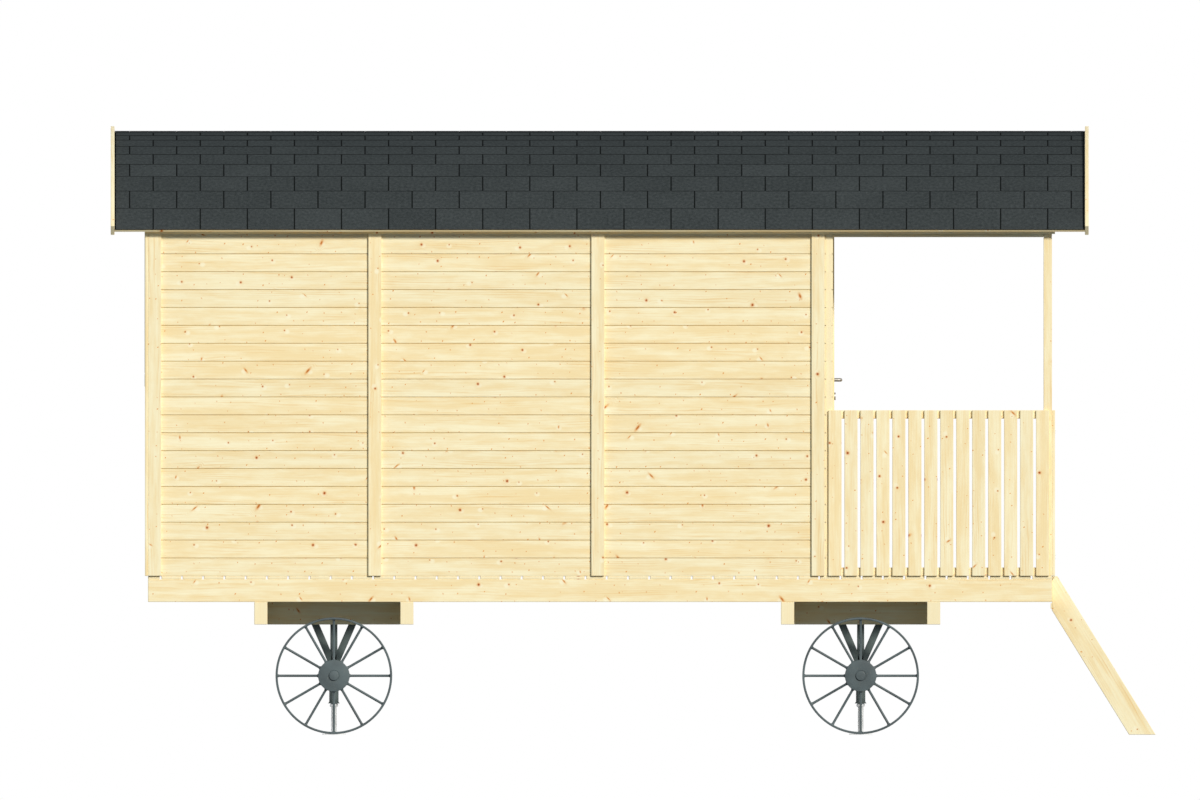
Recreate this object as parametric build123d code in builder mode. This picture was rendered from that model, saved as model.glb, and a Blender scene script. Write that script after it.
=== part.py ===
from build123d import *
from math import asin, ceil, cos, degrees, radians, sin, tan
import os

os.makedirs("parts", exist_ok=True)

# Shepherds hut: a boarded cabin with an arched felt-shingle roof and an open
# porch, on a timber base that four levelling stands carry, with a spoked
# wheel turning on each stand. Millimetres. +X points to the porch and its
# stair, +Z up. The origin lies on the ground, midway along and across the
# whole hut. Left is +Y and right is -Y.

# ---- Driving dimensions -------------------------------------------------
# Base
base_length = 4800
base_width = 2330
beam_w = 70
beam_h = 120
joist_w = 45
joist_spacing = 550
deck_t = 18
deck_board_w = 104
deck_gap = 8.8

# Axle frames under the base
axle_beam_w = 70
axle_beam_h = 120
axle_bay = 775.5                # outer faces of a bay's beams, less one beam
rear_axle_setback = 986.8       # wheel centres, from the rear end of the base
front_axle_setback = 1016       # and from its front end
axle_rail_t = 45
axle_rail_setback = 270         # from the side of the base to the rail

# Cabin
cabin_length = 3637
wall_t = 44
panel_w = 1184                  # the middle of a side's three panels
batten_w = 70
batten_t = 16
door_leaf_w = 840
door_leaf_h = 1900
door_leaf_t = 40
door_gap = 5
door_frame_w = 60
door_frame_proud = 7
door_lip_w = 17                 # stop that the closed leaf lies behind
door_lip_t = 10
threshold_h = 30
door_stile_w = 140              # leaf beside its glass
door_top_rail_h = 200
door_bottom_rail_h = 800        # leaf below its glass
door_lock_rail_h = 150          # and the part of it above the panel
door_foot_rail_h = 190
door_panel_recess = 9           # panel's faces behind the leaf's
glass_t = 6
glass_rebate = 6

# Rear window
casing_w = 70
casing_t = 18
casing_outer_w = 760
casing_outer_h = 950
casing_sill_h = 1003            # underside of the casing above the deck
casing_lap = 10                 # the casing's cover over the window frame
window_frame_w = 45

# Roof: one circular arch over cabin and porch
crown_h = 2360.6                # top of the shingles above the deck
eave_h = 1839.4                 # their lower edge above the deck
eave_overhang = 81              # from the cabin's side to that edge
shingle_t = 3
roof_board_t = 16
roof_board_cover = 92.3         # about, round the arch
roof_board_joint = 0.6
roof_overhang_rear = 178
roof_overhang_front = 175
barge_t = 20
barge_rise = 27.6               # bargeboard's top edge above the shingles
barge_w = 70
rib_w = 120
rib_t = 45
eaves_batten_t = 16
eaves_batten_foot = 1816        # underside above the deck
seat_gap = 0.3                  # curved seats stand this far off

# Porch
post_t = 45
post_w = 70
porch_beam_foot = 1799          # underside of the side beams above the deck
rail_t = 45
balustrade_h = 880
picket_w = 70
picket_t = 16
picket_gap = 14.8
gate_picket_count = 10
gate_gap = 5
gate_strap_t = 2
gate_strap_h = 45
gate_strap_l = 260
gate_leaf_l = 60
gate_hinge_low = 112            # hinge centres above the deck
gate_hinge_high = 775
gate_knuckle_r = 5
gate_pin_r = 2.5

# Stair
stair_angle = 58.2
stringer_depth = 120
stringer_t = 45
stringer_hang = 45              # below the base, where their lower edge meets its end
stringer_drop = 1               # top of the stringers below the deck
stringer_bevel_h = 23           # their top corner is cut back at the base
stringer_bevel_w = 15
stair_width = 840
tread_t = 28
tread_depth = 116
tread_count = 3
cleat_t = 7
cleat_h = 30
cleat_drop = 7                  # its top below the base
ledger_t = 15                   # rail between the stringers, under the deck's edge
ledger_h = 45

# Wheels
wheel_r = 310
wheel_lift = 3                  # tyre above the ground: the stands carry
wheel_top_gap = 82              # from the tyre's top to the base
rim_t = 12
rim_w = 40
spoke_r = 6
spoke_count = 12
wheel_setback = 50              # wheel's middle plane behind the base side
hub_r = 84
hub_w = 36
hub_cap_r = 25
hub_cap_h = 8
hub_boss_r = 35
hub_boss_l = 42
hub_edge = 2                    # chamfer round the drum and its cap
hub_cap_wall = 6                # metal left in front of the axle's bore
axle_r = 12.5
running_clearance = 0.05
axle_collar_r = 24
axle_collar_w = 8

# Stands and jacks
tube_w = 38
tube_wall = 3
brace_angle = 23.4              # from the vertical
brace_meet_rise = 46            # their centre lines meet this far above the axle
stand_top_gap = 15              # stand's top below the base beams
stand_plate_t = 6
stand_plate_w = 360
sleeve_r = 25
sleeve_drop = 13                # sleeve's top below the axle
sleeve_l = 134
sleeve_flare_r = 31
sleeve_flare_h = 9
screw_r = 15
screw_clearance = 0.3
screw_end_gap = 10              # screw's end below the sleeve's top
nut_across = 38
nut_h = 18
foot_plate_w = 122
foot_plate_t = 6
foot_plate_corner = 6

# Door furniture
lever_r = 9.3
lever_reach = 43                # beyond the door frame's face
lever_arm = 115
lever_bend_r = 16
lever_edge = 3                  # chamfer at the tips
spindle_gap = 1                 # round the lever's spindle in the leaf
lever_h = 1041                  # lever's axis above the deck
lever_backset = 60              # from the leaf's edge
rose_r = 26
rose_t = 8
rose_edge = 2
lock_r = 20
lock_h = 954
lock_reach = 7                  # beyond the door frame's face
door_hinge_h = 90
door_hinge_w = 30
door_hinge_t = 2.5
door_knuckle_r = 6
door_pin_r = 3
door_hinge_inset = 250          # hinge middle from the leaf's top or foot
door_hinge_count = 3

# ---- Places worked out from them ------------------------------------------
side = base_width / 2
ground_clearance = wheel_lift + 2 * wheel_r + wheel_top_gap
beam_top = ground_clearance + beam_h
deck = beam_top + deck_t
axle_beam_foot = ground_clearance - axle_beam_h

eave_half = side + eave_overhang
roof_rise = crown_h - eave_h
roof_r = (eave_half**2 + roof_rise**2) / (2 * roof_rise)
eave_angle = degrees(asin(eave_half / roof_r))
crown_z = deck + crown_h
roof_axis_z = crown_z - roof_r
board_outer_r = roof_r - shingle_t
board_inner_r = board_outer_r - roof_board_t
top_r = board_inner_r - seat_gap          # what the roof boards rest on
rib_inner_r = top_r - rib_w

stringer_foot_z = ground_clearance - stringer_hang
stair_foot = stringer_foot_z / tan(radians(stair_angle))
stair_reach = stair_foot + stringer_depth / sin(radians(stair_angle))
rear_reach = roof_overhang_rear + barge_t
front_reach = base_length + max(stair_reach, roof_overhang_front + barge_t)
rear = (rear_reach - front_reach) / 2     # rear end of the base
front = rear + base_length
wall_front = rear + cabin_length
wall_inner = wall_front - wall_t
picket_face = side + picket_t
front_picket_face = front + picket_t
rail_end = front - post_t
axle_x = {"rear": rear + rear_axle_setback, "front": front - front_axle_setback}
side_sign = {"left": 1, "right": -1}

LOW = (Align.MIN, Align.MIN, Align.MIN)


def timber(x_span, y_span, z_span, mode=Mode.ADD):
    """Adds a squared piece between its lower and upper X, Y and Z."""
    with Locations((x_span[0], y_span[0], z_span[0])):
        Box(
            x_span[1] - x_span[0],
            y_span[1] - y_span[0],
            z_span[1] - z_span[0],
            align=LOW,
            mode=mode,
        )


def upright_face(y_span, z_span, mode=Mode.ADD):
    """Adds a rectangle to a sketch that looks along X."""
    with Locations((y_span[0], z_span[0])):
        Rectangle(
            y_span[1] - y_span[0],
            z_span[1] - z_span[0],
            align=(Align.MIN, Align.MIN),
            mode=mode,
        )


def trim_to_roof():
    """Cuts the sketch being drawn to the arch that carries the roof boards."""
    with Locations((0, roof_axis_z)):
        Circle(top_r, mode=Mode.INTERSECT)


def arch_strip(outer, inner, half_angle):
    """Adds a strip of the arch, between two radii, to a sketch that looks along X."""
    reach = 2 * outer
    across = reach * sin(radians(half_angle))
    up = reach * cos(radians(half_angle))
    with Locations((0, roof_axis_z)):
        Circle(outer)
        Circle(inner, mode=Mode.SUBTRACT)
        Polygon((0, 0), (across, up), (-across, up), align=None, mode=Mode.INTERSECT)


# ---- Base -------------------------------------------------------------------
beam_span = (ground_clearance, beam_top)

with BuildPart() as base_beams:
    timber((rear, front), (side - beam_w, side), beam_span)
    mirror(about=Plane.XZ)
base_beams.part.label = "base_beams"
export_step(base_beams.part, "parts/base_beams.step")

with BuildPart() as base_end_rails:
    inner_side = side - beam_w
    timber((rear, rear + joist_w), (-inner_side, inner_side), beam_span)
    timber((front - joist_w, front), (-inner_side, inner_side), beam_span)
base_end_rails.part.label = "base_end_rails"
export_step(base_end_rails.part, "parts/base_end_rails.step")

with BuildPart() as base_joists:
    with BuildSketch(Plane.YZ.offset(rear + joist_w)):
        with Locations((0, ground_clearance + beam_h / 2)):
            with GridLocations(joist_spacing, 1, 3, 1):
                Rectangle(joist_w, beam_h)
    extrude(amount=base_length - 2 * joist_w)
base_joists.part.label = "base_joists"
export_step(base_joists.part, "parts/base_joists.step")

with BuildPart() as deck_boards:
    deck_pitch = deck_board_w + deck_gap
    with BuildSketch(Plane.XY.offset(beam_top)):
        with Locations(*[(front - i * deck_pitch, 0) for i in range(ceil(base_length / deck_pitch))]):
            Rectangle(deck_board_w, base_width, align=(Align.MAX, Align.CENTER))
        with Locations(((rear + front) / 2, 0)):
            Rectangle(base_length, base_width, mode=Mode.INTERSECT)
    extrude(amount=deck_t)
deck_boards.part.label = "deck_boards"
export_step(deck_boards.part, "parts/deck_boards.step")

# ---- Axle frames ---------------------------------------------------------------
bay_half = axle_bay / 2
axle_span = (axle_beam_foot, ground_clearance)
rail_outer = side - axle_rail_setback
rail_inner = rail_outer - axle_rail_t

with BuildPart() as axle_beams:
    for x in axle_x.values():
        for beam_x in (x - bay_half, x + bay_half):
            beam_run = (beam_x - axle_beam_w / 2, beam_x + axle_beam_w / 2)
            timber(beam_run, (-side, side), axle_span)
axle_beams.part.label = "axle_beams"
export_step(axle_beams.part, "parts/axle_beams.step")

with BuildPart() as axle_rails:
    for x in axle_x.values():
        rail_run = (x - bay_half + axle_beam_w / 2, x + bay_half - axle_beam_w / 2)
        timber(rail_run, (rail_inner, rail_outer), axle_span)
    mirror(about=Plane.XZ)
axle_rails.part.label = "axle_rails"
export_step(axle_rails.part, "parts/axle_rails.step")

# ---- Stands: welded tube with two braces, a screw sleeve and a stub axle -------
wheel_z = wheel_r + wheel_lift
wheel_y = side - wheel_setback
stand_top = ground_clearance - stand_top_gap
brace_meet_z = wheel_z + brace_meet_rise
sleeve_top = wheel_z - sleeve_drop
sleeve_foot = sleeve_top - sleeve_l
screw_top = sleeve_top - screw_end_gap
plate_inner = rail_inner - stand_plate_t
tube_y = plate_inner - tube_w / 2
brace_run = tube_w / cos(radians(brace_angle))
brace_top_x = (stand_top - brace_meet_z) * tan(radians(brace_angle))
axle_end_y = wheel_y + hub_w / 2
collar_y = wheel_y - hub_w / 2 - hub_boss_l - seat_gap

with BuildPart() as stand:
    # Upright square tube, open inside for the screw
    with BuildSketch(Plane.XY.offset(sleeve_top - tube_wall)):
        with Locations((0, tube_y)):
            Rectangle(tube_w, tube_w)
    extrude(amount=stand_top - sleeve_top + tube_wall)
    # Braces, slanting out to the mounting plate
    with BuildSketch(Plane.XZ.offset(-plate_inner)):
        with BuildLine():
            Polyline(
                (-brace_run / 2, brace_meet_z),
                (brace_run / 2, brace_meet_z),
                (brace_top_x + brace_run / 2, stand_top),
                (brace_top_x - brace_run / 2, stand_top),
                close=True,
            )
        make_face()
        mirror(about=Plane.YZ)
    extrude(amount=tube_w)
    timber(
        (-stand_plate_w / 2, stand_plate_w / 2),
        (plate_inner, rail_inner),
        (axle_beam_foot, stand_top),
    )
    # Sleeve with its flared foot
    with BuildSketch(Plane.XZ.offset(-tube_y)):
        with BuildLine():
            Polyline(
                (0, sleeve_foot),
                (sleeve_flare_r, sleeve_foot),
                (sleeve_r, sleeve_foot + sleeve_flare_h),
                (sleeve_r, sleeve_top),
                (0, sleeve_top),
                close=True,
            )
        make_face()
    revolve(axis=Axis((0, tube_y, 0), (0, 0, 1)))
    # Stub axle and the collar behind the hub
    with BuildSketch(Plane.XZ.offset(-tube_y)):
        with Locations((0, wheel_z)):
            Circle(axle_r)
    extrude(amount=-(axle_end_y - tube_y))
    with BuildSketch(Plane.XZ.offset(-collar_y)):
        with Locations((0, wheel_z)):
            Circle(axle_collar_r)
    extrude(amount=axle_collar_w)
    # Room for the screw
    with Locations((0, tube_y, sleeve_foot)):
        Cylinder(
            screw_r + screw_clearance,
            screw_top - sleeve_foot + screw_clearance,
            align=(Align.CENTER, Align.CENTER, Align.MIN),
            mode=Mode.SUBTRACT,
        )

with BuildPart() as stands:
    for x in axle_x.values():
        with Locations((x, 0, 0)):
            add(stand.part)
    mirror(about=Plane.XZ)
stands.part.label = "stands"
export_step(stands.part, "parts/stands.step")

with BuildPart() as jack:
    with BuildSketch():
        with Locations((0, tube_y)):
            RectangleRounded(foot_plate_w, foot_plate_w, foot_plate_corner)
    extrude(amount=foot_plate_t)
    with BuildSketch(Plane.XY.offset(foot_plate_t)):
        with Locations((0, tube_y)):
            Circle(screw_r)
    extrude(amount=screw_top - foot_plate_t)
    with BuildSketch(Plane.XY.offset(sleeve_foot - nut_h)):
        with Locations((0, tube_y)):
            RegularPolygon(nut_across / 2, 6, major_radius=False)
    extrude(amount=nut_h)

with BuildPart() as jacks:
    for x in axle_x.values():
        with Locations((x, 0, 0)):
            add(jack.part)
    mirror(about=Plane.XZ)
jacks.part.label = "jacks"
export_step(jacks.part, "parts/jacks.step")

# ---- Wheels: flat-bar rim, twelve rod spokes, turned hub ------------------------
# Both are made about the Y axis with the outer side at -Y, then set in place.
# The spokes stand on the drum and end inside the rim; the hub's bore is blind.
spoke_end = wheel_r - rim_t / 2
drum_face = -hub_w / 2
drum_back = hub_w / 2
cap_face = drum_face - hub_cap_h
boss_end = drum_back + hub_boss_l
bore_r = axle_r + running_clearance
bore_end = cap_face + hub_cap_wall

with BuildPart() as rim_and_spokes:
    with BuildSketch(Plane.XZ):
        Circle(wheel_r)
        Circle(wheel_r - rim_t, mode=Mode.SUBTRACT)
    extrude(amount=rim_w / 2, both=True)
    with Locations(Plane.XZ):
        with PolarLocations(hub_r, spoke_count):
            Cylinder(
                spoke_r,
                spoke_end - hub_r,
                rotation=(0, 90, 0),
                align=(Align.CENTER, Align.CENTER, Align.MIN),
            )

with BuildPart() as hub:
    with BuildSketch():
        with BuildLine():
            Polyline(
                (0, cap_face),
                (hub_cap_r - hub_edge, cap_face),
                (hub_cap_r, cap_face + hub_edge),
                (hub_cap_r, drum_face),
                (hub_r - hub_edge, drum_face),
                (hub_r, drum_face + hub_edge),
                (hub_r, drum_back - hub_edge),
                (hub_r - hub_edge, drum_back),
                (hub_boss_r, drum_back),
                (hub_boss_r, boss_end),
                (bore_r, boss_end),
                (bore_r, bore_end),
                (0, bore_end),
                close=True,
            )
        make_face()
    revolve(axis=Axis.Y)

for end_name, x in axle_x.items():
    for side_name, sign in side_sign.items():
        seat = Location((x, sign * wheel_y, wheel_z), (0, 0, 90 + 90 * sign))
        with BuildPart() as wheel:
            with Locations(seat):
                add(rim_and_spokes.part)
        wheel.part.label = f"wheel_{end_name}_{side_name}"
        export_step(wheel.part, f"parts/wheel_{end_name}_{side_name}.step")
        with BuildPart() as wheel_hub:
            with Locations(seat):
                add(hub.part)
        wheel_hub.part.label = f"hub_{end_name}_{side_name}"
        export_step(wheel_hub.part, f"parts/hub_{end_name}_{side_name}.step")

# ---- Cabin walls -----------------------------------------------------------------
frame_inner_w = door_leaf_w + 2 * door_gap
frame_outer_w = frame_inner_w + 2 * door_frame_w
leaf_foot = deck + threshold_h + door_gap
leaf_top = leaf_foot + door_leaf_h
frame_top = leaf_top + door_gap + door_frame_w
frame_face = wall_front + door_frame_proud
leaf_outer = frame_face - door_lip_t - door_gap
leaf_inner = leaf_outer - door_leaf_t

window_foot = deck + casing_sill_h + casing_w - casing_lap
window_w = casing_outer_w - 2 * (casing_w - casing_lap)
window_h = casing_outer_h - 2 * (casing_w - casing_lap)
window_z = window_foot + window_h / 2

with BuildPart() as wall_right:
    with BuildSketch(Plane.YZ.offset(rear + wall_t)):
        upright_face((-side, -side + wall_t), (deck, crown_z))
        trim_to_roof()
    extrude(amount=wall_inner - rear - wall_t)
wall_right.part.label = "wall_right"
export_step(wall_right.part, "parts/wall_right.step")

with BuildPart() as wall_left:
    add(wall_right.part.mirror(Plane.XZ))
wall_left.part.label = "wall_left"
export_step(wall_left.part, "parts/wall_left.step")

with BuildPart() as wall_rear:
    with BuildSketch(Plane.YZ.offset(rear)):
        upright_face((-side, side), (deck, crown_z))
        trim_to_roof()
        with Locations((0, window_z)):
            Rectangle(window_w, window_h, mode=Mode.SUBTRACT)
    extrude(amount=wall_t)
wall_rear.part.label = "wall_rear"
export_step(wall_rear.part, "parts/wall_rear.step")

with BuildPart() as wall_front_right:
    with BuildSketch(Plane.YZ.offset(wall_inner)):
        upright_face((-side, -frame_outer_w / 2), (deck, crown_z))
        trim_to_roof()
    extrude(amount=wall_t)
wall_front_right.part.label = "wall_front_right"
export_step(wall_front_right.part, "parts/wall_front_right.step")

with BuildPart() as wall_front_left:
    add(wall_front_right.part.mirror(Plane.XZ))
wall_front_left.part.label = "wall_front_left"
export_step(wall_front_left.part, "parts/wall_front_left.step")

with BuildPart() as wall_front_top:
    with BuildSketch(Plane.YZ.offset(wall_inner)):
        upright_face((-frame_outer_w / 2, frame_outer_w / 2), (frame_top, crown_z))
        trim_to_roof()
    extrude(amount=wall_t)
wall_front_top.part.label = "wall_front_top"
export_step(wall_front_top.part, "parts/wall_front_top.step")

# Upright battens over the panel joints, and the corner boards at the rear
panel_mid = (rear + wall_inner) / 2
batten_starts = [
    rear,
    panel_mid - panel_w / 2 - batten_w / 2,
    panel_mid + panel_w / 2 - batten_w / 2,
    wall_inner - batten_w,
]
with BuildPart() as side_battens:
    for x in batten_starts:
        with BuildSketch(Plane.YZ.offset(x)):
            upright_face((side, side + batten_t), (deck, crown_z))
            trim_to_roof()
        extrude(amount=batten_w)
    mirror(about=Plane.XZ)
side_battens.part.label = "side_battens"
export_step(side_battens.part, "parts/side_battens.step")

with BuildPart() as rear_corner_boards:
    with BuildSketch(Plane.YZ.offset(rear)):
        upright_face((side + batten_t - batten_w, side + batten_t), (deck, crown_z))
        trim_to_roof()
        mirror(about=Plane.YZ)
    extrude(amount=-batten_t)
rear_corner_boards.part.label = "rear_corner_boards"
export_step(rear_corner_boards.part, "parts/rear_corner_boards.step")

# ---- Rear window ---------------------------------------------------------------------
pane_w = window_w - 2 * window_frame_w
pane_h = window_h - 2 * window_frame_w

with BuildPart() as window_casing:
    with BuildSketch(Plane.YZ.offset(rear)):
        with Locations((0, window_z)):
            Rectangle(casing_outer_w, casing_outer_h)
            Rectangle(casing_outer_w - 2 * casing_w, casing_outer_h - 2 * casing_w, mode=Mode.SUBTRACT)
    extrude(amount=-casing_t)
window_casing.part.label = "window_casing"
export_step(window_casing.part, "parts/window_casing.step")

with BuildPart() as window_frame:
    with BuildSketch(Plane.YZ.offset(rear)):
        with Locations((0, window_z)):
            Rectangle(window_w, window_h)
            Rectangle(pane_w, pane_h, mode=Mode.SUBTRACT)
    extrude(amount=wall_t)
    with BuildSketch(Plane.YZ.offset(rear + (wall_t - glass_t) / 2)):
        with Locations((0, window_z)):
            Rectangle(pane_w + 2 * glass_rebate, pane_h + 2 * glass_rebate)
    extrude(amount=glass_t, mode=Mode.SUBTRACT)
window_frame.part.label = "window_frame"
export_step(window_frame.part, "parts/window_frame.step")

with BuildPart() as window_glass:
    with BuildSketch(Plane.YZ.offset(rear + (wall_t - glass_t) / 2)):
        with Locations((0, window_z)):
            Rectangle(pane_w + 2 * glass_rebate, pane_h + 2 * glass_rebate)
    extrude(amount=glass_t)
window_glass.part.label = "window_glass"
export_step(window_glass.part, "parts/window_glass.step")

# ---- Door ------------------------------------------------------------------------------
# The leaf opens inwards on butt hinges at its left edge.
lip_half = frame_inner_w / 2 - door_lip_w
lip_foot = deck + threshold_h
lip_top = leaf_top + door_gap - door_lip_w
door_glass_w = door_leaf_w - 2 * door_stile_w
door_glass_h = door_leaf_h - door_bottom_rail_h - door_top_rail_h
glass_z = leaf_foot + door_bottom_rail_h + door_glass_h / 2
panel_span = (leaf_foot + door_foot_rail_h, leaf_foot + door_bottom_rail_h - door_lock_rail_h)
leaf_mid = (leaf_inner + leaf_outer) / 2
door_hinge_y = door_leaf_w / 2 + door_gap / 2
door_hinge_x = leaf_inner - door_knuckle_r
door_hinge_step = (door_leaf_h - 2 * door_hinge_inset) / (door_hinge_count - 1)
door_hinge_z = [
    leaf_foot + door_hinge_inset + i * door_hinge_step for i in range(door_hinge_count)
]

with BuildPart() as door_frame:
    with BuildSketch(Plane.YZ.offset(leaf_inner)):
        upright_face((-frame_outer_w / 2, frame_outer_w / 2), (deck, frame_top))
        upright_face(
            (-frame_inner_w / 2, frame_inner_w / 2),
            (lip_foot, leaf_top + door_gap),
            mode=Mode.SUBTRACT,
        )
    extrude(amount=frame_face - leaf_inner)
    with BuildSketch(Plane.YZ.offset(frame_face)):
        upright_face((-frame_inner_w / 2, frame_inner_w / 2), (lip_foot, leaf_top + door_gap))
        upright_face((-lip_half, lip_half), (lip_foot, lip_top), mode=Mode.SUBTRACT)
    extrude(amount=-door_lip_t)
door_frame.part.label = "door_frame"
export_step(door_frame.part, "parts/door_frame.step")

lever_y = -door_leaf_w / 2 + lever_backset
lever_z = deck + lever_h
lock_z = deck + lock_h
rose_bore = lever_r + running_clearance

with BuildPart() as door_leaf:
    with BuildSketch(Plane.YZ.offset(leaf_inner)):
        with Locations((0, leaf_foot + door_leaf_h / 2)):
            Rectangle(door_leaf_w, door_leaf_h)
        with Locations((0, glass_z)):
            Rectangle(door_glass_w, door_glass_h, mode=Mode.SUBTRACT)
        with Locations((lever_y, lever_z)):
            Circle(lever_r + spindle_gap, mode=Mode.SUBTRACT)
    extrude(amount=door_leaf_t)
    with BuildSketch(Plane.YZ.offset(leaf_mid - glass_t / 2)):
        with Locations((0, glass_z)):
            Rectangle(door_glass_w + 2 * glass_rebate, door_glass_h + 2 * glass_rebate)
    extrude(amount=glass_t, mode=Mode.SUBTRACT)
    # The panel below the lock rail lies back from both faces
    for face, depth in ((leaf_inner, door_panel_recess), (leaf_outer, -door_panel_recess)):
        with BuildSketch(Plane.YZ.offset(face)):
            upright_face((-door_glass_w / 2, door_glass_w / 2), panel_span)
        extrude(amount=depth, mode=Mode.SUBTRACT)
door_leaf.part.label = "door_leaf"
export_step(door_leaf.part, "parts/door_leaf.step")

with BuildPart() as door_glass:
    with BuildSketch(Plane.YZ.offset(leaf_mid - glass_t / 2)):
        with Locations((0, glass_z)):
            Rectangle(door_glass_w + 2 * glass_rebate, door_glass_h + 2 * glass_rebate)
    extrude(amount=glass_t)
door_glass.part.label = "door_glass"
export_step(door_glass.part, "parts/door_glass.step")

# Hinges: the frame's half has the lower knuckle and the pin
hinge_plate = (leaf_inner - door_hinge_t, leaf_inner)
door_plate_start = door_knuckle_r + 1

with BuildPart() as door_hinges_fixed:
    for z in door_hinge_z:
        timber(
            hinge_plate,
            (door_hinge_y + door_plate_start, door_hinge_y + door_hinge_w),
            (z - door_hinge_h / 2, z + door_hinge_h / 2),
        )
        timber(
            hinge_plate,
            (door_hinge_y, door_hinge_y + door_plate_start),
            (z - door_hinge_h / 2, z - door_gap / 2),
        )
        with Locations((door_hinge_x, door_hinge_y, z - door_hinge_h / 2)):
            Cylinder(
                door_knuckle_r,
                (door_hinge_h - door_gap) / 2,
                align=(Align.CENTER, Align.CENTER, Align.MIN),
            )
            Cylinder(door_pin_r, door_hinge_h, align=(Align.CENTER, Align.CENTER, Align.MIN))
door_hinges_fixed.part.label = "door_hinges_fixed"
export_step(door_hinges_fixed.part, "parts/door_hinges_fixed.step")

with BuildPart() as door_hinges_moving:
    for z in door_hinge_z:
        timber(
            hinge_plate,
            (door_hinge_y - door_hinge_w, door_hinge_y - door_plate_start),
            (z - door_hinge_h / 2, z + door_hinge_h / 2),
        )
        timber(
            hinge_plate,
            (door_hinge_y - door_plate_start, door_hinge_y),
            (z + door_gap / 2, z + door_hinge_h / 2),
        )
        with Locations((door_hinge_x, door_hinge_y, z + door_gap / 2)):
            Cylinder(
                door_knuckle_r,
                (door_hinge_h - door_gap) / 2,
                align=(Align.CENTER, Align.CENTER, Align.MIN),
            )
            Cylinder(
                door_pin_r + running_clearance,
                door_hinge_h,
                align=(Align.CENTER, Align.CENTER, Align.MIN),
                mode=Mode.SUBTRACT,
            )
door_hinges_moving.part.label = "door_hinges_moving"
export_step(door_hinges_moving.part, "parts/door_hinges_moving.step")

# Roses on both faces, and the lock's cylinder below the lever
with BuildPart() as door_roses:
    for face, thickness in ((leaf_outer, rose_t), (leaf_inner, -rose_t)):
        with BuildSketch(Plane.YZ.offset(face)):
            with Locations((lever_y, lever_z)):
                Circle(rose_r)
                Circle(rose_bore, mode=Mode.SUBTRACT)
        extrude(amount=thickness)
    with BuildSketch(Plane.YZ.offset(leaf_outer)):
        with Locations((lever_y, lock_z)):
            Circle(lock_r)
    extrude(amount=frame_face + lock_reach - leaf_outer)
    chamfer(door_roses.edges().filter_by(GeomType.CIRCLE).group_by(Axis.X)[-1], rose_edge)
door_roses.part.label = "door_roses"
export_step(door_roses.part, "parts/door_roses.step")

# One spindle with a lever at each end
lever_outer_x = frame_face + lever_reach - lever_r
lever_inner_x = leaf_inner - (lever_outer_x - leaf_outer)

with BuildPart() as door_lever:
    with BuildLine():
        FilletPolyline(
            (lever_inner_x, lever_y + lever_arm, lever_z),
            (lever_inner_x, lever_y, lever_z),
            (lever_outer_x, lever_y, lever_z),
            (lever_outer_x, lever_y + lever_arm, lever_z),
            radius=lever_bend_r,
        )
    with BuildSketch(Plane.XZ.offset(-lever_y - lever_arm)):
        with Locations((lever_inner_x, lever_z)):
            Circle(lever_r)
    sweep()
    chamfer(door_lever.edges().filter_by(GeomType.CIRCLE).group_by(Axis.Y)[-1], lever_edge)
door_lever.part.label = "door_lever"
export_step(door_lever.part, "parts/door_lever.step")

# ---- Roof --------------------------------------------------------------------------------
roof_rear = rear - roof_overhang_rear
roof_front = front + roof_overhang_front

roof_board_count = round(2 * radians(eave_angle) * board_outer_r / roof_board_cover)
board_angle = 2 * eave_angle / roof_board_count

with BuildPart() as roof_boards:
    with BuildSketch(Plane.YZ.offset(roof_rear)):
        arch_strip(board_outer_r, board_inner_r, eave_angle)
        joint_cut = 4 * roof_board_t
        with Locations((0, roof_axis_z)):
            with PolarLocations(
                board_inner_r,
                roof_board_count - 1,
                start_angle=90 - eave_angle + board_angle,
                angular_range=2 * eave_angle - 2 * board_angle,
                endpoint=True,
            ):
                Rectangle(joint_cut, roof_board_joint, mode=Mode.SUBTRACT)
    extrude(amount=roof_front - roof_rear)
roof_boards.part.label = "roof_boards"
export_step(roof_boards.part, "parts/roof_boards.step")

with BuildPart() as roof_shingles:
    with BuildSketch(Plane.YZ.offset(roof_rear)):
        arch_strip(roof_r, board_outer_r, eave_angle)
    extrude(amount=roof_front - roof_rear)
roof_shingles.part.label = "roof_shingles"
export_step(roof_shingles.part, "parts/roof_shingles.step")

for end_name, x in (("rear", roof_rear - barge_t), ("front", roof_front)):
    with BuildPart() as bargeboard:
        with BuildSketch(Plane.YZ.offset(x)):
            arch_strip(roof_r + barge_rise, roof_r + barge_rise - barge_w, eave_angle)
        extrude(amount=barge_t)
    bargeboard.part.label = f"bargeboard_{end_name}"
    export_step(bargeboard.part, f"parts/bargeboard_{end_name}.step")

# Arched ribs inside the cabin, over the wall panels' joints
with BuildPart() as roof_ribs:
    for x in batten_starts[1:-1]:
        with BuildSketch(Plane.YZ.offset(x + (batten_w - rib_t) / 2)):
            arch_strip(top_r, rib_inner_r, eave_angle)
            upright_face((-side + wall_t, side - wall_t), (deck, crown_z), mode=Mode.INTERSECT)
        extrude(amount=rib_t)
roof_ribs.part.label = "roof_ribs"
export_step(roof_ribs.part, "parts/roof_ribs.step")

# Battens under the eaves, outside the uprights, the whole length of the hut
with BuildPart() as eaves_battens:
    with BuildSketch(Plane.YZ.offset(rear - batten_t)):
        upright_face((picket_face, picket_face + eaves_batten_t), (deck + eaves_batten_foot, crown_z))
        trim_to_roof()
        mirror(about=Plane.YZ)
    extrude(amount=front_picket_face - rear + batten_t)
eaves_battens.part.label = "eaves_battens"
export_step(eaves_battens.part, "parts/eaves_battens.step")

# ---- Porch ---------------------------------------------------------------------------------
beam_foot = deck + porch_beam_foot

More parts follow.
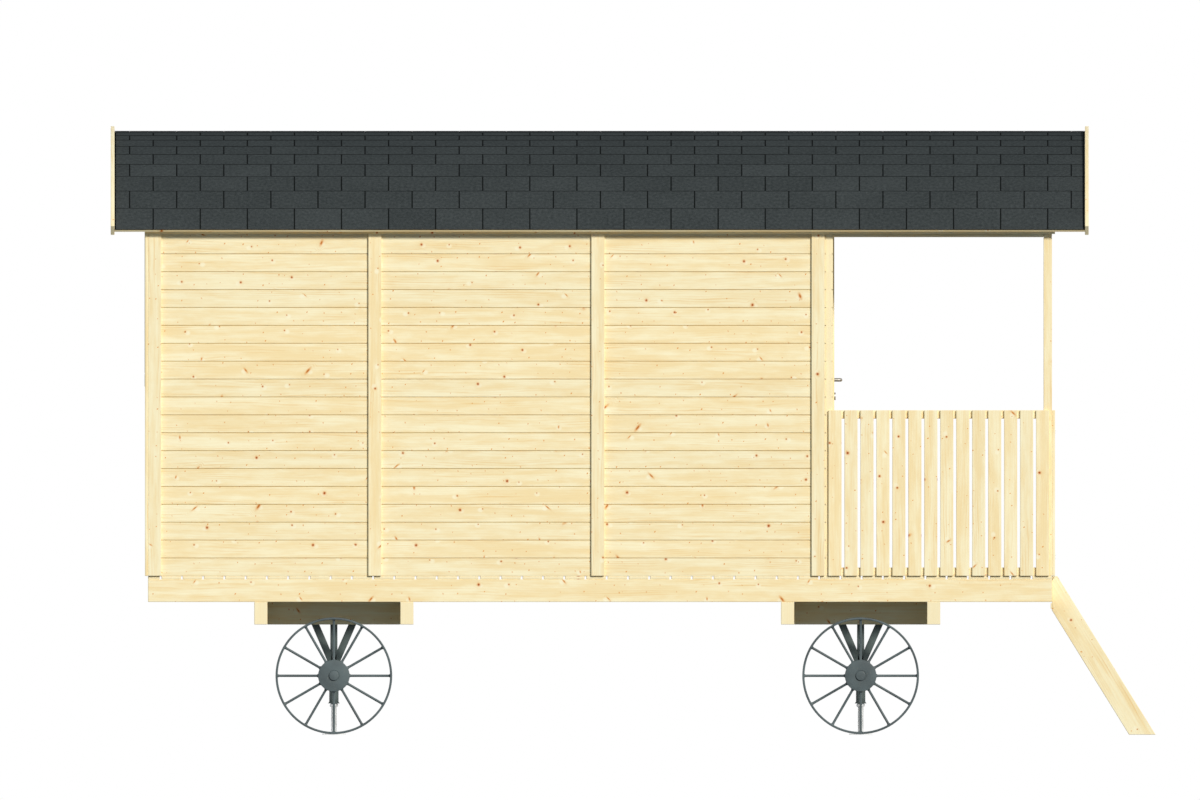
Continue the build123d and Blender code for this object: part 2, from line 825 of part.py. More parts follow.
with BuildPart() as porch_posts:
    timber((rail_end, front), (side - post_w, side), (deck, beam_foot))
    mirror(about=Plane.XZ)
porch_posts.part.label = "porch_posts"
export_step(porch_posts.part, "parts/porch_posts.step")

with BuildPart() as porch_beams:
    with BuildSketch(Plane.YZ.offset(wall_front)):
        upright_face((side - rail_t, side), (beam_foot, crown_z))
        trim_to_roof()
        mirror(about=Plane.YZ)
    extrude(amount=rail_end - wall_front)
porch_beams.part.label = "porch_beams"
export_step(porch_beams.part, "parts/porch_beams.step")

with BuildPart() as porch_arch:
    with BuildSketch(Plane.YZ.offset(rail_end)):
        arch_strip(top_r, rib_inner_r, eave_angle)
        upright_face((-side, side), (beam_foot, crown_z), mode=Mode.INTERSECT)
    extrude(amount=post_t)
porch_arch.part.label = "porch_arch"
export_step(porch_arch.part, "parts/porch_arch.step")

# ---- Balustrades -------------------------------------------------------------------------------
rail_spans = ((deck, deck + rail_t), (deck + balustrade_h - rail_t, deck + balustrade_h))
balustrade_span = (deck, deck + balustrade_h)
picket_pitch = picket_w + picket_gap
side_picket_count = int((front - wall_inner) / picket_pitch)
first_picket = front - side_picket_count * picket_pitch

for side_name, sign in side_sign.items():
    with BuildPart() as balustrade:
        for rail_span in rail_spans:
            timber((wall_front, rail_end), (side - rail_t, side), rail_span)
        for i in range(side_picket_count):
            x = first_picket + i * picket_pitch
            timber((x, x + picket_w), (side, picket_face), balustrade_span)
        if sign < 0:
            mirror(about=Plane.XZ, mode=Mode.REPLACE)
    balustrade.part.label = f"balustrade_{side_name}"
    export_step(balustrade.part, f"parts/balustrade_{side_name}.step")

gate_half = (gate_picket_count * picket_pitch - picket_gap) / 2
gate_post_y = gate_half + gate_gap
panel_picket_count = round((side - gate_half) / picket_pitch)
panel_pitch = (side - gate_half) / panel_picket_count
panel_gap = panel_pitch - picket_w
front_boards = (front, front_picket_face)

with BuildPart() as front_panels:
    timber((rail_end, front), (gate_post_y, gate_post_y + post_t), balustrade_span)
    for rail_span in rail_spans:
        timber((rail_end, front), (gate_post_y + post_t, side - post_w), rail_span)
    for i in range(panel_picket_count):
        y = side - picket_w - i * panel_pitch
        timber(front_boards, (y, y + picket_w), balustrade_span)
    mirror(about=Plane.XZ)
front_panels.part.label = "front_panels"
export_step(front_panels.part, "parts/front_panels.step")

# The gate swings out over the stair on strap hinges at its left edge.
gate_foot = deck + gate_gap
gate_hinge_y = gate_half + panel_gap / 2
gate_hinge_x = front_picket_face + gate_strap_t - gate_knuckle_r
gate_hinge_z = (deck + gate_hinge_low, deck + gate_hinge_high)
strap_faces = (front_picket_face, front_picket_face + gate_strap_t)

with BuildPart() as gate:
    for low, high in rail_spans:
        timber((rail_end, front), (-gate_half, gate_half), (max(low, gate_foot), high))
    for i in range(gate_picket_count):
        y = -gate_half + i * picket_pitch
        timber(front_boards, (y, y + picket_w), (gate_foot, deck + balustrade_h))
gate.part.label = "gate"
export_step(gate.part, "parts/gate.step")

with BuildPart() as gate_hinges_fixed:
    for z in gate_hinge_z:
        timber(
            strap_faces,
            (gate_hinge_y + panel_gap / 2, gate_hinge_y + panel_gap / 2 + gate_leaf_l),
            (z - gate_strap_h / 2, z + gate_strap_h / 2),
        )
        timber(
            (gate_hinge_x, front_picket_face + gate_strap_t),
            (gate_hinge_y, gate_hinge_y + panel_gap / 2),
            (z - gate_strap_h / 2, z - gate_gap / 2),
        )
        with Locations((gate_hinge_x, gate_hinge_y, z - gate_strap_h / 2)):
            Cylinder(
                gate_knuckle_r,
                (gate_strap_h - gate_gap) / 2,
                align=(Align.CENTER, Align.CENTER, Align.MIN),
            )
            Cylinder(gate_pin_r, gate_strap_h, align=(Align.CENTER, Align.CENTER, Align.MIN))
gate_hinges_fixed.part.label = "gate_hinges_fixed"
export_step(gate_hinges_fixed.part, "parts/gate_hinges_fixed.step")

with BuildPart() as gate_hinges_moving:
    for z in gate_hinge_z:
        timber(
            strap_faces,
            (gate_half - gate_strap_l, gate_half),
            (z - gate_strap_h / 2, z + gate_strap_h / 2),
        )
        timber(
            (gate_hinge_x, front_picket_face + gate_strap_t),
            (gate_half, gate_hinge_y),
            (z + gate_gap / 2, z + gate_strap_h / 2),
        )
        with Locations((gate_hinge_x, gate_hinge_y, z + gate_gap / 2)):
            Cylinder(
                gate_knuckle_r,
                (gate_strap_h - gate_gap) / 2,
                align=(Align.CENTER, Align.CENTER, Align.MIN),
            )
            Cylinder(
                gate_pin_r + running_clearance,
                gate_strap_h,
                align=(Align.CENTER, Align.CENTER, Align.MIN),
                mode=Mode.SUBTRACT,
            )
gate_hinges_moving.part.label = "gate_hinges_moving"
export_step(gate_hinges_moving.part, "parts/gate_hinges_moving.step")

# ---- Stair -----------------------------------------------------------------------------------
slope = tan(radians(stair_angle))
level_width = stringer_depth / sin(radians(stair_angle))
stringer_top = deck - stringer_drop
stair_inner = stair_width / 2 - stringer_t
rise = deck / (tread_count + 1)

with BuildPart() as stair_stringers:
    with BuildSketch(Plane.XZ.offset(stair_inner)):
        with BuildLine():
            Polyline(
                (front, stringer_foot_z),
                (front + stair_foot, 0),
                (front + stair_reach, 0),
                (front + stair_reach - stringer_top / slope, stringer_top),
                (front + stringer_bevel_w, stringer_top),
                (front, stringer_top - stringer_bevel_h),
                close=True,
            )
        make_face()
    extrude(amount=stringer_t)
    mirror(about=Plane.XZ)
stair_stringers.part.label = "stair_stringers"
export_step(stair_stringers.part, "parts/stair_stringers.step")

with BuildPart() as stair_treads:
    for i in range(tread_count):
        tread_top = rise * (i + 1)
        tread_mid = front + stair_foot + level_width / 2 - (tread_top - tread_t / 2) / slope
        timber(
            (tread_mid - tread_depth / 2, tread_mid + tread_depth / 2),
            (-stair_inner, stair_inner),
            (tread_top - tread_t, tread_top),
        )
stair_treads.part.label = "stair_treads"
export_step(stair_treads.part, "parts/stair_treads.step")

# A cleat behind the stringers and a ledger between them hold the stair to the base
cleat_top = ground_clearance - cleat_drop

with BuildPart() as stair_cleat:
    timber((front - cleat_t, front), (-stair_width / 2, stair_width / 2), (cleat_top - cleat_h, cleat_top))
    timber((front, front + ledger_t), (-stair_inner, stair_inner), (stringer_top - ledger_h, stringer_top))
stair_cleat.part.label = "stair_cleat"
export_step(stair_cleat.part, "parts/stair_cleat.step")
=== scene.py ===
"""A timber shepherds hut on spoked wheels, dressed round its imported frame.

Every size that the frame holds is read from it. Lengths are metres, +X points
to the porch, the right side is -Y and the ground is z = 0.
"""

from __future__ import annotations

import logging
from dataclasses import dataclass
from enum import Enum
from math import atan2, cos, degrees, hypot, pi, radians, sin, sqrt, tan
from typing import Any, Callable, NamedTuple, Union

import bpy
import numpy as np
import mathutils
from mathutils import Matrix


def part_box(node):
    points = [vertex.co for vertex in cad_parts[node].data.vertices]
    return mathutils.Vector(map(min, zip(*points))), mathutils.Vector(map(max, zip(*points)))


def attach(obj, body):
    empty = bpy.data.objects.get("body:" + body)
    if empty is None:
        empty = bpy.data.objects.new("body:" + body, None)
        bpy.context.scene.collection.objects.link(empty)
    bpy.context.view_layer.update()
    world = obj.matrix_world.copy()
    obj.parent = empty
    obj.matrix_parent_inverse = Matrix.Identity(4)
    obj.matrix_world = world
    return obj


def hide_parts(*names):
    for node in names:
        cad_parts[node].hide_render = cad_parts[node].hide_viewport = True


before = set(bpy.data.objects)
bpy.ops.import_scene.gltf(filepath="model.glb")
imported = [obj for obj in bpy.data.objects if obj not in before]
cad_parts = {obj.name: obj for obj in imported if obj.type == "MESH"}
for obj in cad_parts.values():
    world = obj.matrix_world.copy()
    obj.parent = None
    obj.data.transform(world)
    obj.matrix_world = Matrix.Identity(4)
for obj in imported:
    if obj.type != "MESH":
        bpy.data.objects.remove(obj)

Array = np.ndarray
Socket = bpy.types.NodeSocket
Object = bpy.types.Object
Material = bpy.types.Material
Span = tuple[float, float]
Vector = tuple[float, float, float]
Colour = tuple[int, int, int]
Bend = Callable[[Array], Array]
log = logging.getLogger("hut")


class Grain(Enum):
    """The axis that the grain runs along, as the order of along, across and through."""

    X = (0, 1, 2)
    Y = (1, 2, 0)
    Z = (2, 0, 1)


class Side(Enum):
    """A side of the hut, with its sign along Y."""

    RIGHT = -1
    LEFT = 1


class End(Enum):
    """An end of the hut, with its sign along X."""

    REAR = -1
    FRONT = 1


SIGNS = tuple(side.value for side in Side)
CORE = 0.0005  # What a turned shape leaves open on its axis


def named(stem: str, *choices: Enum) -> str:
    """A node's name: its stem and the names of the end and side that it is at."""
    return "_".join([stem, *(choice.name.lower() for choice in choices)])


# ---- Shapes as arrays ----


@dataclass(frozen=True)
class Shape:
    """A closed surface: its points, its faces' corners in one row, and each face's size."""

    points: Array
    corners: Array
    sizes: Array

    @property
    def starts(self) -> Array:
        """Where each face's corners begin."""
        return np.cumsum(self.sizes) - self.sizes

    def moved(self, bend: Bend | None) -> "Shape":
        """The shape with its points put through a function."""
        return Shape(bend(self.points), self.corners, self.sizes) if bend else self

    def areas(self) -> Array:
        """Each face's normal, twice its area long: its edges' ends multiplied and added up.

        Returns:
            One row for each face.
        """
        following = np.arange(len(self.corners)) + 1
        following[self.starts + self.sizes - 1] = self.starts
        here = self.points[self.corners]
        return np.add.reduceat(np.cross(here, here[following]), self.starts)

    def outward(self) -> "Shape":
        """The shape with its faces turned outwards, judged by the sign of its volume.

        Returns:
            The shape, with its corners reversed if they had to be.
        """
        centred = self.moved(lambda points: points - points.mean(0))
        middles = np.add.reduceat(centred.points[self.corners], self.starts) / self.sizes[:, None]
        if (centred.areas() * middles).sum() > 0:
            return self
        last = np.repeat(2 * self.starts + self.sizes - 1, self.sizes)
        return Shape(self.points, self.corners[last - np.arange(len(self.corners))], self.sizes)


def full_turn(count: int) -> Array:
    """Evenly spaced angles all the way round."""
    return np.arange(count) * 2 * pi / count


def circle(radius: Array | float, angle: Array, height: Array | float) -> Array:
    """The points (radius cos a, radius sin a, height), for arrays that fit together."""
    return np.stack(np.broadcast_arrays(radius * np.cos(angle), radius * np.sin(angle), height), -1)


def rectangle(length: float, width: float, edge: float, steps: int = 1) -> Array:
    """Outline of a rectangle from (0, 0) with cut corners, counter-clockwise.

    Args:
        length: Size along the first axis.
        width: Size along the second axis.
        edge: How far each corner is cut back.
        steps: Parts that both long sides are divided into, for bending.

    Returns:
        The outline, one row a point.
    """
    run = np.linspace(edge, length - edge, steps + 1)
    foot, top = (np.stack([row, np.full_like(run, at)], 1) for row, at in ((run, 0), (run[::-1], width)))
    right, left = [[length, edge], [length, width - edge]], [[0, width - edge], [0, edge]]
    return np.concatenate([foot, right, top, left])


def rounded(length: float, width: float, radius: float, steps: int = 4) -> Array:
    """Outline of a rectangle about the origin with round corners, counter-clockwise.

    Each corner is its centre plus the radius times (cos a, sin a) over a quarter turn.

    Args:
        length: Size along the first axis.
        width: Size along the second axis.
        radius: The corners' radius.
        steps: Parts in each corner.

    Returns:
        The outline, one row a point.
    """
    turn = np.linspace(0, pi / 2, steps + 1)
    arcs = []
    for quarter, side in enumerate(((1, 1), (-1, 1), (-1, -1), (1, -1))):
        centre = np.array(side) * (np.array([length, width]) / 2 - radius)
        arcs.append(centre + circle(radius, turn + quarter * pi / 2, 0)[:, :2])
    return np.concatenate(arcs)


def eased(path: Array | list, cut: float, steps: int = 4) -> Array:
    """Rounds a path's inner corners.

    With a and b the points at the cut's distance before and after a corner c, the
    curve is (1 - t)^2 a + 2 t (1 - t) c + t^2 b.

    Args:
        path: Points, one row each.
        cut: How far from a corner its curve starts.
        steps: Parts in each curve.

    Returns:
        The path with its corners curved.
    """
    path = np.asarray(path, float)
    corner = path[1:-1]
    ends = []
    for near in (path[:-2] - corner, path[2:] - corner):
        run = np.linalg.norm(near, axis=1, keepdims=True)
        ends.append(corner + near / run * np.minimum(cut, 0.48 * run))
    t = np.linspace(0, 1, steps + 1)[:, None, None]
    curve = (1 - t) ** 2 * ends[0] + 2 * t * (1 - t) * corner + t**2 * ends[1]
    return np.concatenate([path[:1], curve.swapaxes(0, 1).reshape(-1, path.shape[1]), path[-1:]])


def eased_outline(outline: list, cut: float, steps: int = 4) -> Array:
    """Rounds every corner of a closed outline."""
    return eased([outline[-1], *outline, outline[0]], cut, steps)[1:-1]


def inset(outline: Array, distance: float) -> Array:
    """Outline moved inwards: each point goes along the sum of its two edges' normals,
    divided by one plus their product, so that both edges move by the distance.

    Args:
        outline: Counter-clockwise points.
        distance: How far each edge moves.

    Returns:
        The smaller outline.
    """
    ahead = np.roll(outline, -1, 0) - outline
    ahead /= np.linalg.norm(ahead, axis=1, keepdims=True)
    after = np.stack([-ahead[:, 1], ahead[:, 0]], 1)
    before = np.roll(after, 1, 0)
    turn = 1 + (after * before).sum(1, keepdims=True)
    return outline + distance * (after + before) / turn


def loft(rings: Array, closed: bool = False) -> Shape:
    """Joins rings of equal count by quads.

    Args:
        rings: Points as (ring, place round it, 3), anticlockwise seen from the last ring.
        closed: Joins the last ring to the first, where a polygon would close each end.

    Returns:
        The closed surface.
    """
    count, around = rings.shape[:2]
    row, place = np.divmod(np.arange((count - (not closed)) * around), around)
    following = (place + 1) % around
    base, other = row * around, (row + 1) % count * around
    quads = np.stack([base + place, base + following, other + following, other + place], 1)
    corners, sizes = quads.ravel(), np.full(len(quads), 4)
    if not closed:
        last = (count - 1) * around + np.arange(around)
        corners = np.concatenate([corners, np.arange(around)[::-1], last])
        sizes = np.append(sizes, [around, around])
    return Shape(rings.reshape(-1, 3), corners, sizes)


def tiers(outline: Array | list, rows: list[Span]) -> Shape:
    """A flat piece whose outline is drawn in at each height.

    Args:
        outline: Counter-clockwise points.
        rows: Heights with the distance that the outline is inset there, upwards.

    Returns:
        The closed piece.
    """
    outline = np.asarray(outline, float)
    rings = [
        np.pad(inset(outline, draw) if draw else outline, ((0, 0), (0, 1)), constant_values=height)
        for height, draw in rows
    ]
    return loft(np.stack(rings))


def slab(outline: Array | list, low: float, high: float, edge: float) -> Shape:
    """A flat piece with chamfered rims."""
    return tiers(outline, [(low, edge), (low + edge, 0), (high - edge, 0), (high, edge)])


def lathe(profile: Array | list, around: int, closed: bool = False) -> Shape:
    """Turns (radius, height) rows about the third axis."""
    profile = np.asarray(profile, float)
    return loft(circle(profile[:, :1], full_turn(around), profile[:, 1:]), closed)


def tube(path: Array, radius: Array, side: Vector, around: int) -> Shape:
    """Carries a circle along a path that lies in a plane.

    With s the plane's normal and t the path's direction, the point at angle a is the
    path's point plus the radius times (s cos a + (t x s) sin a).

    Args:
        path: Points of the middle line.
        radius: A radius for each point.
        side: The plane's normal.
        around: Points round the tube.

    Returns:
        The closed tube.
    """
    step = np.gradient(path, axis=0)
    step /= np.linalg.norm(step, axis=1, keepdims=True)
    first = np.broadcast_to(np.array(side, float), step.shape)
    second = np.cross(step, first)
    angle = full_turn(around)[None, :, None]
    spread = first[:, None] * np.cos(angle) + second[:, None] * np.sin(angle)
    return loft(path[:, None] + radius[:, None, None] * spread)


def nut(across: float, low: float, high: float) -> Shape:
    """A hexagon with turned corners: its radius is half the flats' distance over the
    cosine of the angle from the flat's middle, and no more than the cone at its ends.

    Args:
        across: Distance between two flats.
        low: Height of its foot.
        high: Height of its top.

    Returns:
        The closed nut.
    """
    angle = full_turn(36)
    flats = across / 2 / np.cos(np.mod(angle, pi / 3) - pi / 6)
    cut, face, side = 0.1 * across, 0.5 * across, 0.58 * across
    rows = ((low, face), (low + cut, side), (high - cut, side), (high, face))
    return loft(np.stack([circle(np.minimum(flats, limit), angle, height) for height, limit in rows]))


def thread(radius: float, depth: float, pitch: float, low: float, high: float) -> Shape:
    """A screw thread: the radius less the depth times a triangle wave of the height
    over the pitch less the share of a turn.

    Args:
        radius: Radius over the crests.
        depth: From crest to root.
        pitch: From crest to crest.
        low: Where it starts.
        high: Where it ends.

    Returns:
        The closed rod.
    """
    angle = full_turn(20)
    height = np.linspace(low, high, int((high - low) / pitch * 6) + 1)[:, None]
    wave = np.abs(2 * np.mod(height / pitch - angle / (2 * pi), 1) - 1)
    return loft(circle(radius - depth * wave, angle, height))


def seated(direction: Vector, place: Array | list) -> Bend:
    """Turns a shape so that its third axis points along a direction, and moves it there.

    The first axis is the cross product of the vertical and the direction, or +X where
    that is nothing, and the second is the cross product of the third and the first.

    Args:
        direction: Where the third axis points.
        place: Where the origin goes.

    Returns:
        The function that moves points.
    """
    third = np.array(direction, float) / np.linalg.norm(direction)
    level = np.cross([0, 0, 1], third)
    size = np.linalg.norm(level)
    first = level / size if size > 1e-6 else np.array([1.0, 0, 0])
    axes = np.stack([first, np.cross(third, first), third])
    return lambda points: points @ axes + np.array(place)


def crosswise(points: Array) -> Array:
    """Seats an outline in (y, z), with its depth along +X."""
    return points[:, [2, 0, 1]]


def lengthwise(points: Array) -> Array:
    """Seats an outline in (x, z), with its depth along -Y."""
    return points[:, [0, 2, 1]] * [1, -1, 1]


# ---- Frame and pieces ----


@dataclass(frozen=True)
class Box:
    """A CAD node's extent, as a span along each axis."""

    x: Span
    y: Span
    z: Span

    @staticmethod
    def of(node: str) -> "Box":
        """Reads a node's box from the frame."""
        return Box(*zip(*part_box(node)))

    @property
    def centre(self) -> Array:
        """The middle of the box."""
        return np.mean([self.x, self.y, self.z], 1)

    @property
    def near(self) -> float:
        """The side of the box that is nearer the hut's middle, as a distance from it."""
        return min(map(abs, self.y))

    @property
    def far(self) -> float:
        """The side of the box that is farther from the hut's middle."""
        return max(map(abs, self.y))

    def opening(self, rebate: float) -> tuple[Span, Span]:
        """The spans across and up that a pane of glass shows inside its rebate."""
        return (self.y[0] + rebate, self.y[1] - rebate), (self.z[0] + rebate, self.z[1] - rebate)


def about(middle: float, width: float) -> Span:
    """A span of a width about its middle."""
    return middle - width / 2, middle + width / 2


def courses(low: float, high: float, pitch: float) -> list[Span]:
    """Courses of one pitch from low upwards, the last one cut at high."""
    count = int(np.ceil((high - low) / pitch - 1e-6))
    return [(low + i * pitch, min(low + (i + 1) * pitch, high)) for i in range(count)]


class Dressing(NamedTuple):
    """A material with the record's slot that it belongs to."""

    material: Material
    slot: str


class Stack:
    """Pieces of one finish on one body, gathered into one mesh.

    Each piece gets a run of grain of its own: a UV map in metres, along and across the
    grain, shifted at random, and an attribute with its tone, its end faces and its broad faces.
    """

    def __init__(self, seed: int, edge: float = 0.0015) -> None:
        """Starts empty.

        Args:
            seed: Its random seed.
            edge: The chamfer of its squared timber.
        """
        self.draw = np.random.default_rng(seed)
        self.edge = edge
        self.shapes: list[Shape] = []
        self.grains: list[Array] = []
        self.marks: list[Array] = []

    def add(
        self, shape: Shape, bend: Bend | None = None, grain: Grain = Grain.X, flow: Bend | None = None
    ) -> None:
        """Adds a closed piece.

        Args:
            shape: The piece in its own coordinates.
            bend: Moves its points to their place in the hut.
            grain: The axis that the grain runs along, in those or in the flow's coordinates.
            flow: Gives the points' coordinates along the grain, where it isn't straight.
        """
        flat = shape.moved(flow)
        normal = flat.areas()
        normal = np.abs(normal / np.maximum(np.linalg.norm(normal, axis=1, keepdims=True), 1e-12))
        normal, here = np.repeat(normal, flat.sizes, 0), flat.points[flat.corners]
        along, across, through = grain.value
        end = normal[:, along] > 0.8
        broad = normal[:, through] >= normal[:, across]
        u = np.where(end, here[:, across], here[:, along])
        v = np.where(end | ~broad, here[:, through], here[:, across])
        self.grains.append(np.stack([u, v], 1) + self.draw.uniform(0, 30, 2))
        tone = np.full_like(u, self.draw.uniform())
        self.marks.append(np.stack([tone, end, broad & ~end, np.ones_like(u)], 1))
        self.shapes.append(shape.moved(bend))

    def timber(self, x: Span, y: Span, z: Span, grain: Grain, edge: float | None = None) -> None:
        """Adds a squared timber over three spans, each in either order.

        Args:
            x: Its span along X.
            y: Its span along Y.
            z: Its span along Z.
            grain: The axis that its grain runs along.
            edge: Its chamfer, where it isn't the stack's.
        """
        order = list(grain.value)
        extent = np.sort(np.array([x, y, z], float), 1)[order]
        size = extent[:, 1] - extent[:, 0]
        cut = min(self.edge if edge is None else edge, size.min() / 3)
        shape = slab(rectangle(size[0], size[1], cut), 0, size[2], cut)
        self.add(shape, lambda points: (points + extent[:, 0])[:, np.argsort(order)])

    def piece(
        self, name: str, finish: Dressing, stands_for: str = "", body: str = "hut", smooth: float = 30
    ) -> Object:
        """Makes the mesh, dresses it and puts it on its body.

        Args:
            name: The piece's name.
            finish: Its material and slot.
            stands_for: The CAD node that it replaces, if any.
            body: The body it rides on.
            smooth: Edges that turn by more than this many degrees stay sharp.

        Returns:
            The finished object.
        """
        sizes = np.concatenate([shape.sizes for shape in self.shapes])
        offsets = np.cumsum([0] + [len(shape.points) for shape in self.shapes])
        points = np.concatenate([shape.points for shape in self.shapes])
        corners = np.concatenate([shape.corners + offset for shape, offset in zip(self.shapes, offsets)])
        mesh = bpy.data.meshes.new(name)
        mesh.vertices.add(len(points))
        mesh.vertices.foreach_set("co", points.astype(np.float32).ravel())
        mesh.loops.add(len(corners))
        mesh.loops.foreach_set("vertex_index", corners.astype(np.int32))
        mesh.polygons.add(len(sizes))
        mesh.polygons.foreach_set("loop_start", (np.cumsum(sizes) - sizes).astype(np.int32))
        mesh.update(calc_edges=True)
        grain = mesh.uv_layers.new(name="grain")
        grain.data.foreach_set("uv", np.concatenate(self.grains).astype(np.float32).ravel())
        marks = mesh.attributes.new("board", "FLOAT_COLOR", "CORNER")
        marks.data.foreach_set("color", np.concatenate(self.marks).astype(np.float32).ravel())
        mesh.polygons.foreach_set("use_smooth", np.ones(len(sizes), bool))
        mesh.set_sharp_from_angle(angle=radians(smooth))
        mesh.materials.append(finish.material)
        made = bpy.data.objects.new(name, mesh)
        bpy.context.scene.collection.objects.link(made)
        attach(made, body)
        if stands_for:
            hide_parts(stands_for)
        log.info("%s: %d parts, %d faces", name, len(self.shapes), len(sizes))
        return made


# ---- Shader maths ----


class Value:
    """A number socket that Python's operators turn into Math nodes."""

    def __init__(self, graph: "Graph", socket: Socket) -> None:
        """Wraps one output socket of the graph."""
        self.graph = graph
        self.socket = socket

    def __add__(self, other: Feed) -> "Value":
        """The sum."""
        return self.graph.maths("ADD", self, other)

    __radd__ = __add__

    def __mul__(self, other: Feed) -> "Value":
        """The product."""
        return self.graph.maths("MULTIPLY", self, other)

    __rmul__ = __mul__

    def __sub__(self, other: Feed) -> "Value":
        """The difference."""
        return self.graph.maths("SUBTRACT", self, other)

    def __rsub__(self, other: Feed) -> "Value":
        """The difference from a number."""
        return self.graph.maths("SUBTRACT", other, self)

    def __truediv__(self, other: Feed) -> "Value":
        """The quotient."""
        return self.graph.maths("DIVIDE", self, other)

    def __pow__(self, other: Feed) -> "Value":
        """The power."""
        return self.graph.maths("POWER", self, other)

    def __gt__(self, other: Feed) -> "Value":
        """1 where it is greater, and 0 elsewhere."""
        return self.graph.maths("GREATER_THAN", self, other)

    def between(self, low: Feed, high: Feed) -> "Value":
        """0 at low, 1 at high, with a smooth step between.

        Args:
            low: Where the step starts.
            high: Where it ends.

        Returns:
            The step's value.
        """
        feeds = {"Value": self, "From Min": low, "From Max": high}
        made = self.graph.node("ShaderNodeMapRange", {"interpolation_type": "SMOOTHSTEP"}, feeds)
        return Value(self.graph, made.outputs["Result"])


Feed = Union[Value, Socket, float, tuple]


class Graph:
    """A node tree, with short ways to add what the finishes use."""

    def __init__(self, tree: bpy.types.NodeTree) -> None:
        """Works on a tree that has its shader already."""
        self.tree = tree

    @staticmethod
    def of_material(name: str) -> "Graph":
        """Starts a material with a Principled shader.

        Args:
            name: The material's name.

        Returns:
            Its graph.
        """
        material = bpy.data.materials.new(name)
        material.use_nodes = True
        graph = Graph(material.node_tree)
        graph.material = material
        graph.tree.nodes.clear()
        graph.shader = graph.node("ShaderNodeBsdfPrincipled")
        graph.node("ShaderNodeOutputMaterial", {}, {0: graph.shader.outputs[0]})
        return graph

    def node(
        self, kind: str, settings: dict[str, Any] | None = None, feeds: dict[Any, Feed] | None = None
    ) -> bpy.types.Node:
        """Adds any node.

        Args:
            kind: The node's type.
            settings: Its properties, set first.
            feeds: Values or links for its inputs, by name or number.

        Returns:
            The node.
        """
        made = self.tree.nodes.new(kind)
        for key, value in (settings or {}).items():
            setattr(made, key, value)
        for key, value in (feeds or {}).items():
            self.feed(made.inputs[key], value)
        return made

    def feed(self, target: Socket, value: Feed) -> None:
        """Links a socket or a wrapped value, or sets a plain number, colour or vector.

        Args:
            target: The input.
            value: What it gets.
        """
        if isinstance(value, Value):
            value = value.socket
        if isinstance(value, Socket):
            self.tree.links.new(value, target)
        else:
            target.default_value = value

    def grain(self) -> tuple[Socket, Value, Value, Value]:
        """The place along and across the grain, and the board's tone, end and broad faces.

        Returns:
            The place, then three numbers.
        """
        place = self.node("ShaderNodeUVMap", {"uv_map": "grain"}).outputs[0]
        marks = self.node("ShaderNodeAttribute", {"attribute_name": "board"})
        return place, *self.channels(marks.outputs["Color"])

    def place(self) -> Socket:
        """The place in the object's own coordinates."""
        return self.node("ShaderNodeTexCoord").outputs["Object"]

    def channels(self, colour: Socket) -> list[Value]:
        """A colour's three numbers."""
        made = self.node("ShaderNodeSeparateColor", {}, {0: colour})
        return [Value(self, socket) for socket in made.outputs[:3]]

    def parts(self, vector: Socket) -> list[Value]:
        """A vector's three numbers."""
        made = self.node("ShaderNodeSeparateXYZ", {}, {0: vector})
        return [Value(self, socket) for socket in made.outputs[:3]]

    def maths(self, operation: str, *values: Feed) -> Value:
        """Adds a Math node of the named operation."""
        made = self.node("ShaderNodeMath", {"operation": operation}, dict(enumerate(values)))
        return Value(self, made.outputs[0])

    def vector(self, operation: str, *values: Feed) -> Socket:
        """Adds a Vector Math node and gives its vector."""
        made = self.node("ShaderNodeVectorMath", {"operation": operation}, dict(enumerate(values)))
        return made.outputs[0]

    def length(self, vector: Socket) -> Value:
        """Length of a vector."""
        made = self.node("ShaderNodeVectorMath", {"operation": "LENGTH"}, {0: vector})
        return Value(self, made.outputs["Value"])

    def mix(self, share: Feed, first: Feed, second: Feed, blend: str = "MIX") -> Socket:
        """Mixes two colours: sockets, light with its alpha, or display colours of 0 to 255.

        Args:
            share: How much of the second.
            first: One colour.
            second: The other colour.
            blend: How they mix.

        Returns:
            The mixed colour.
        """
        feeds = {0: share}
        for target, colour in ((6, first), (7, second)):
            display = isinstance(colour, tuple) and len(colour) == 3
            feeds[target] = linear(*colour) if display else colour
        made = self.node("ShaderNodeMix", {"data_type": "RGBA", "blend_type": blend}, feeds)
        return made.outputs[2]

    def noise(self, place: Socket, scale: Vector, detail: float = 2, rough: float = 0.5) -> Value:
        """Noise over a place that is first stretched by a scale on each axis.

        Args:
            place: Where it is read.
            scale: Cells a metre on each axis.
            detail: How many finer layers it has.
            rough: How strong each finer layer is.

        Returns:
            Its value, 0.5 on average.
        """
        spot = self.vector("MULTIPLY", place, scale)
        feeds = {"Vector": spot, "Scale": 1.0, "Detail": detail, "Roughness": rough}
        made = self.node("ShaderNodeTexNoise", {"noise_dimensions": "3D"}, feeds)
        return Value(self, made.outputs["Fac"])

    def bump(self, height: Value, distance: float) -> None:
        """Leads a height times the distance to the shader's normal."""
        made = self.node("ShaderNodeBump", {}, {"Height": height, "Distance": distance, "Strength": 1.0})
        self.feed(self.shader.inputs["Normal"], made.outputs[0])

    def finish(self, **inputs: Feed) -> Material:
        """Feeds the shader's inputs, with _ for a space, and gives the material.

        Args:
            inputs: Values by the input's name.

        Returns:
            The material.
        """
        for key, value in inputs.items():
            self.feed(self.shader.inputs[key.replace("_", " ")], value)
        return self.material


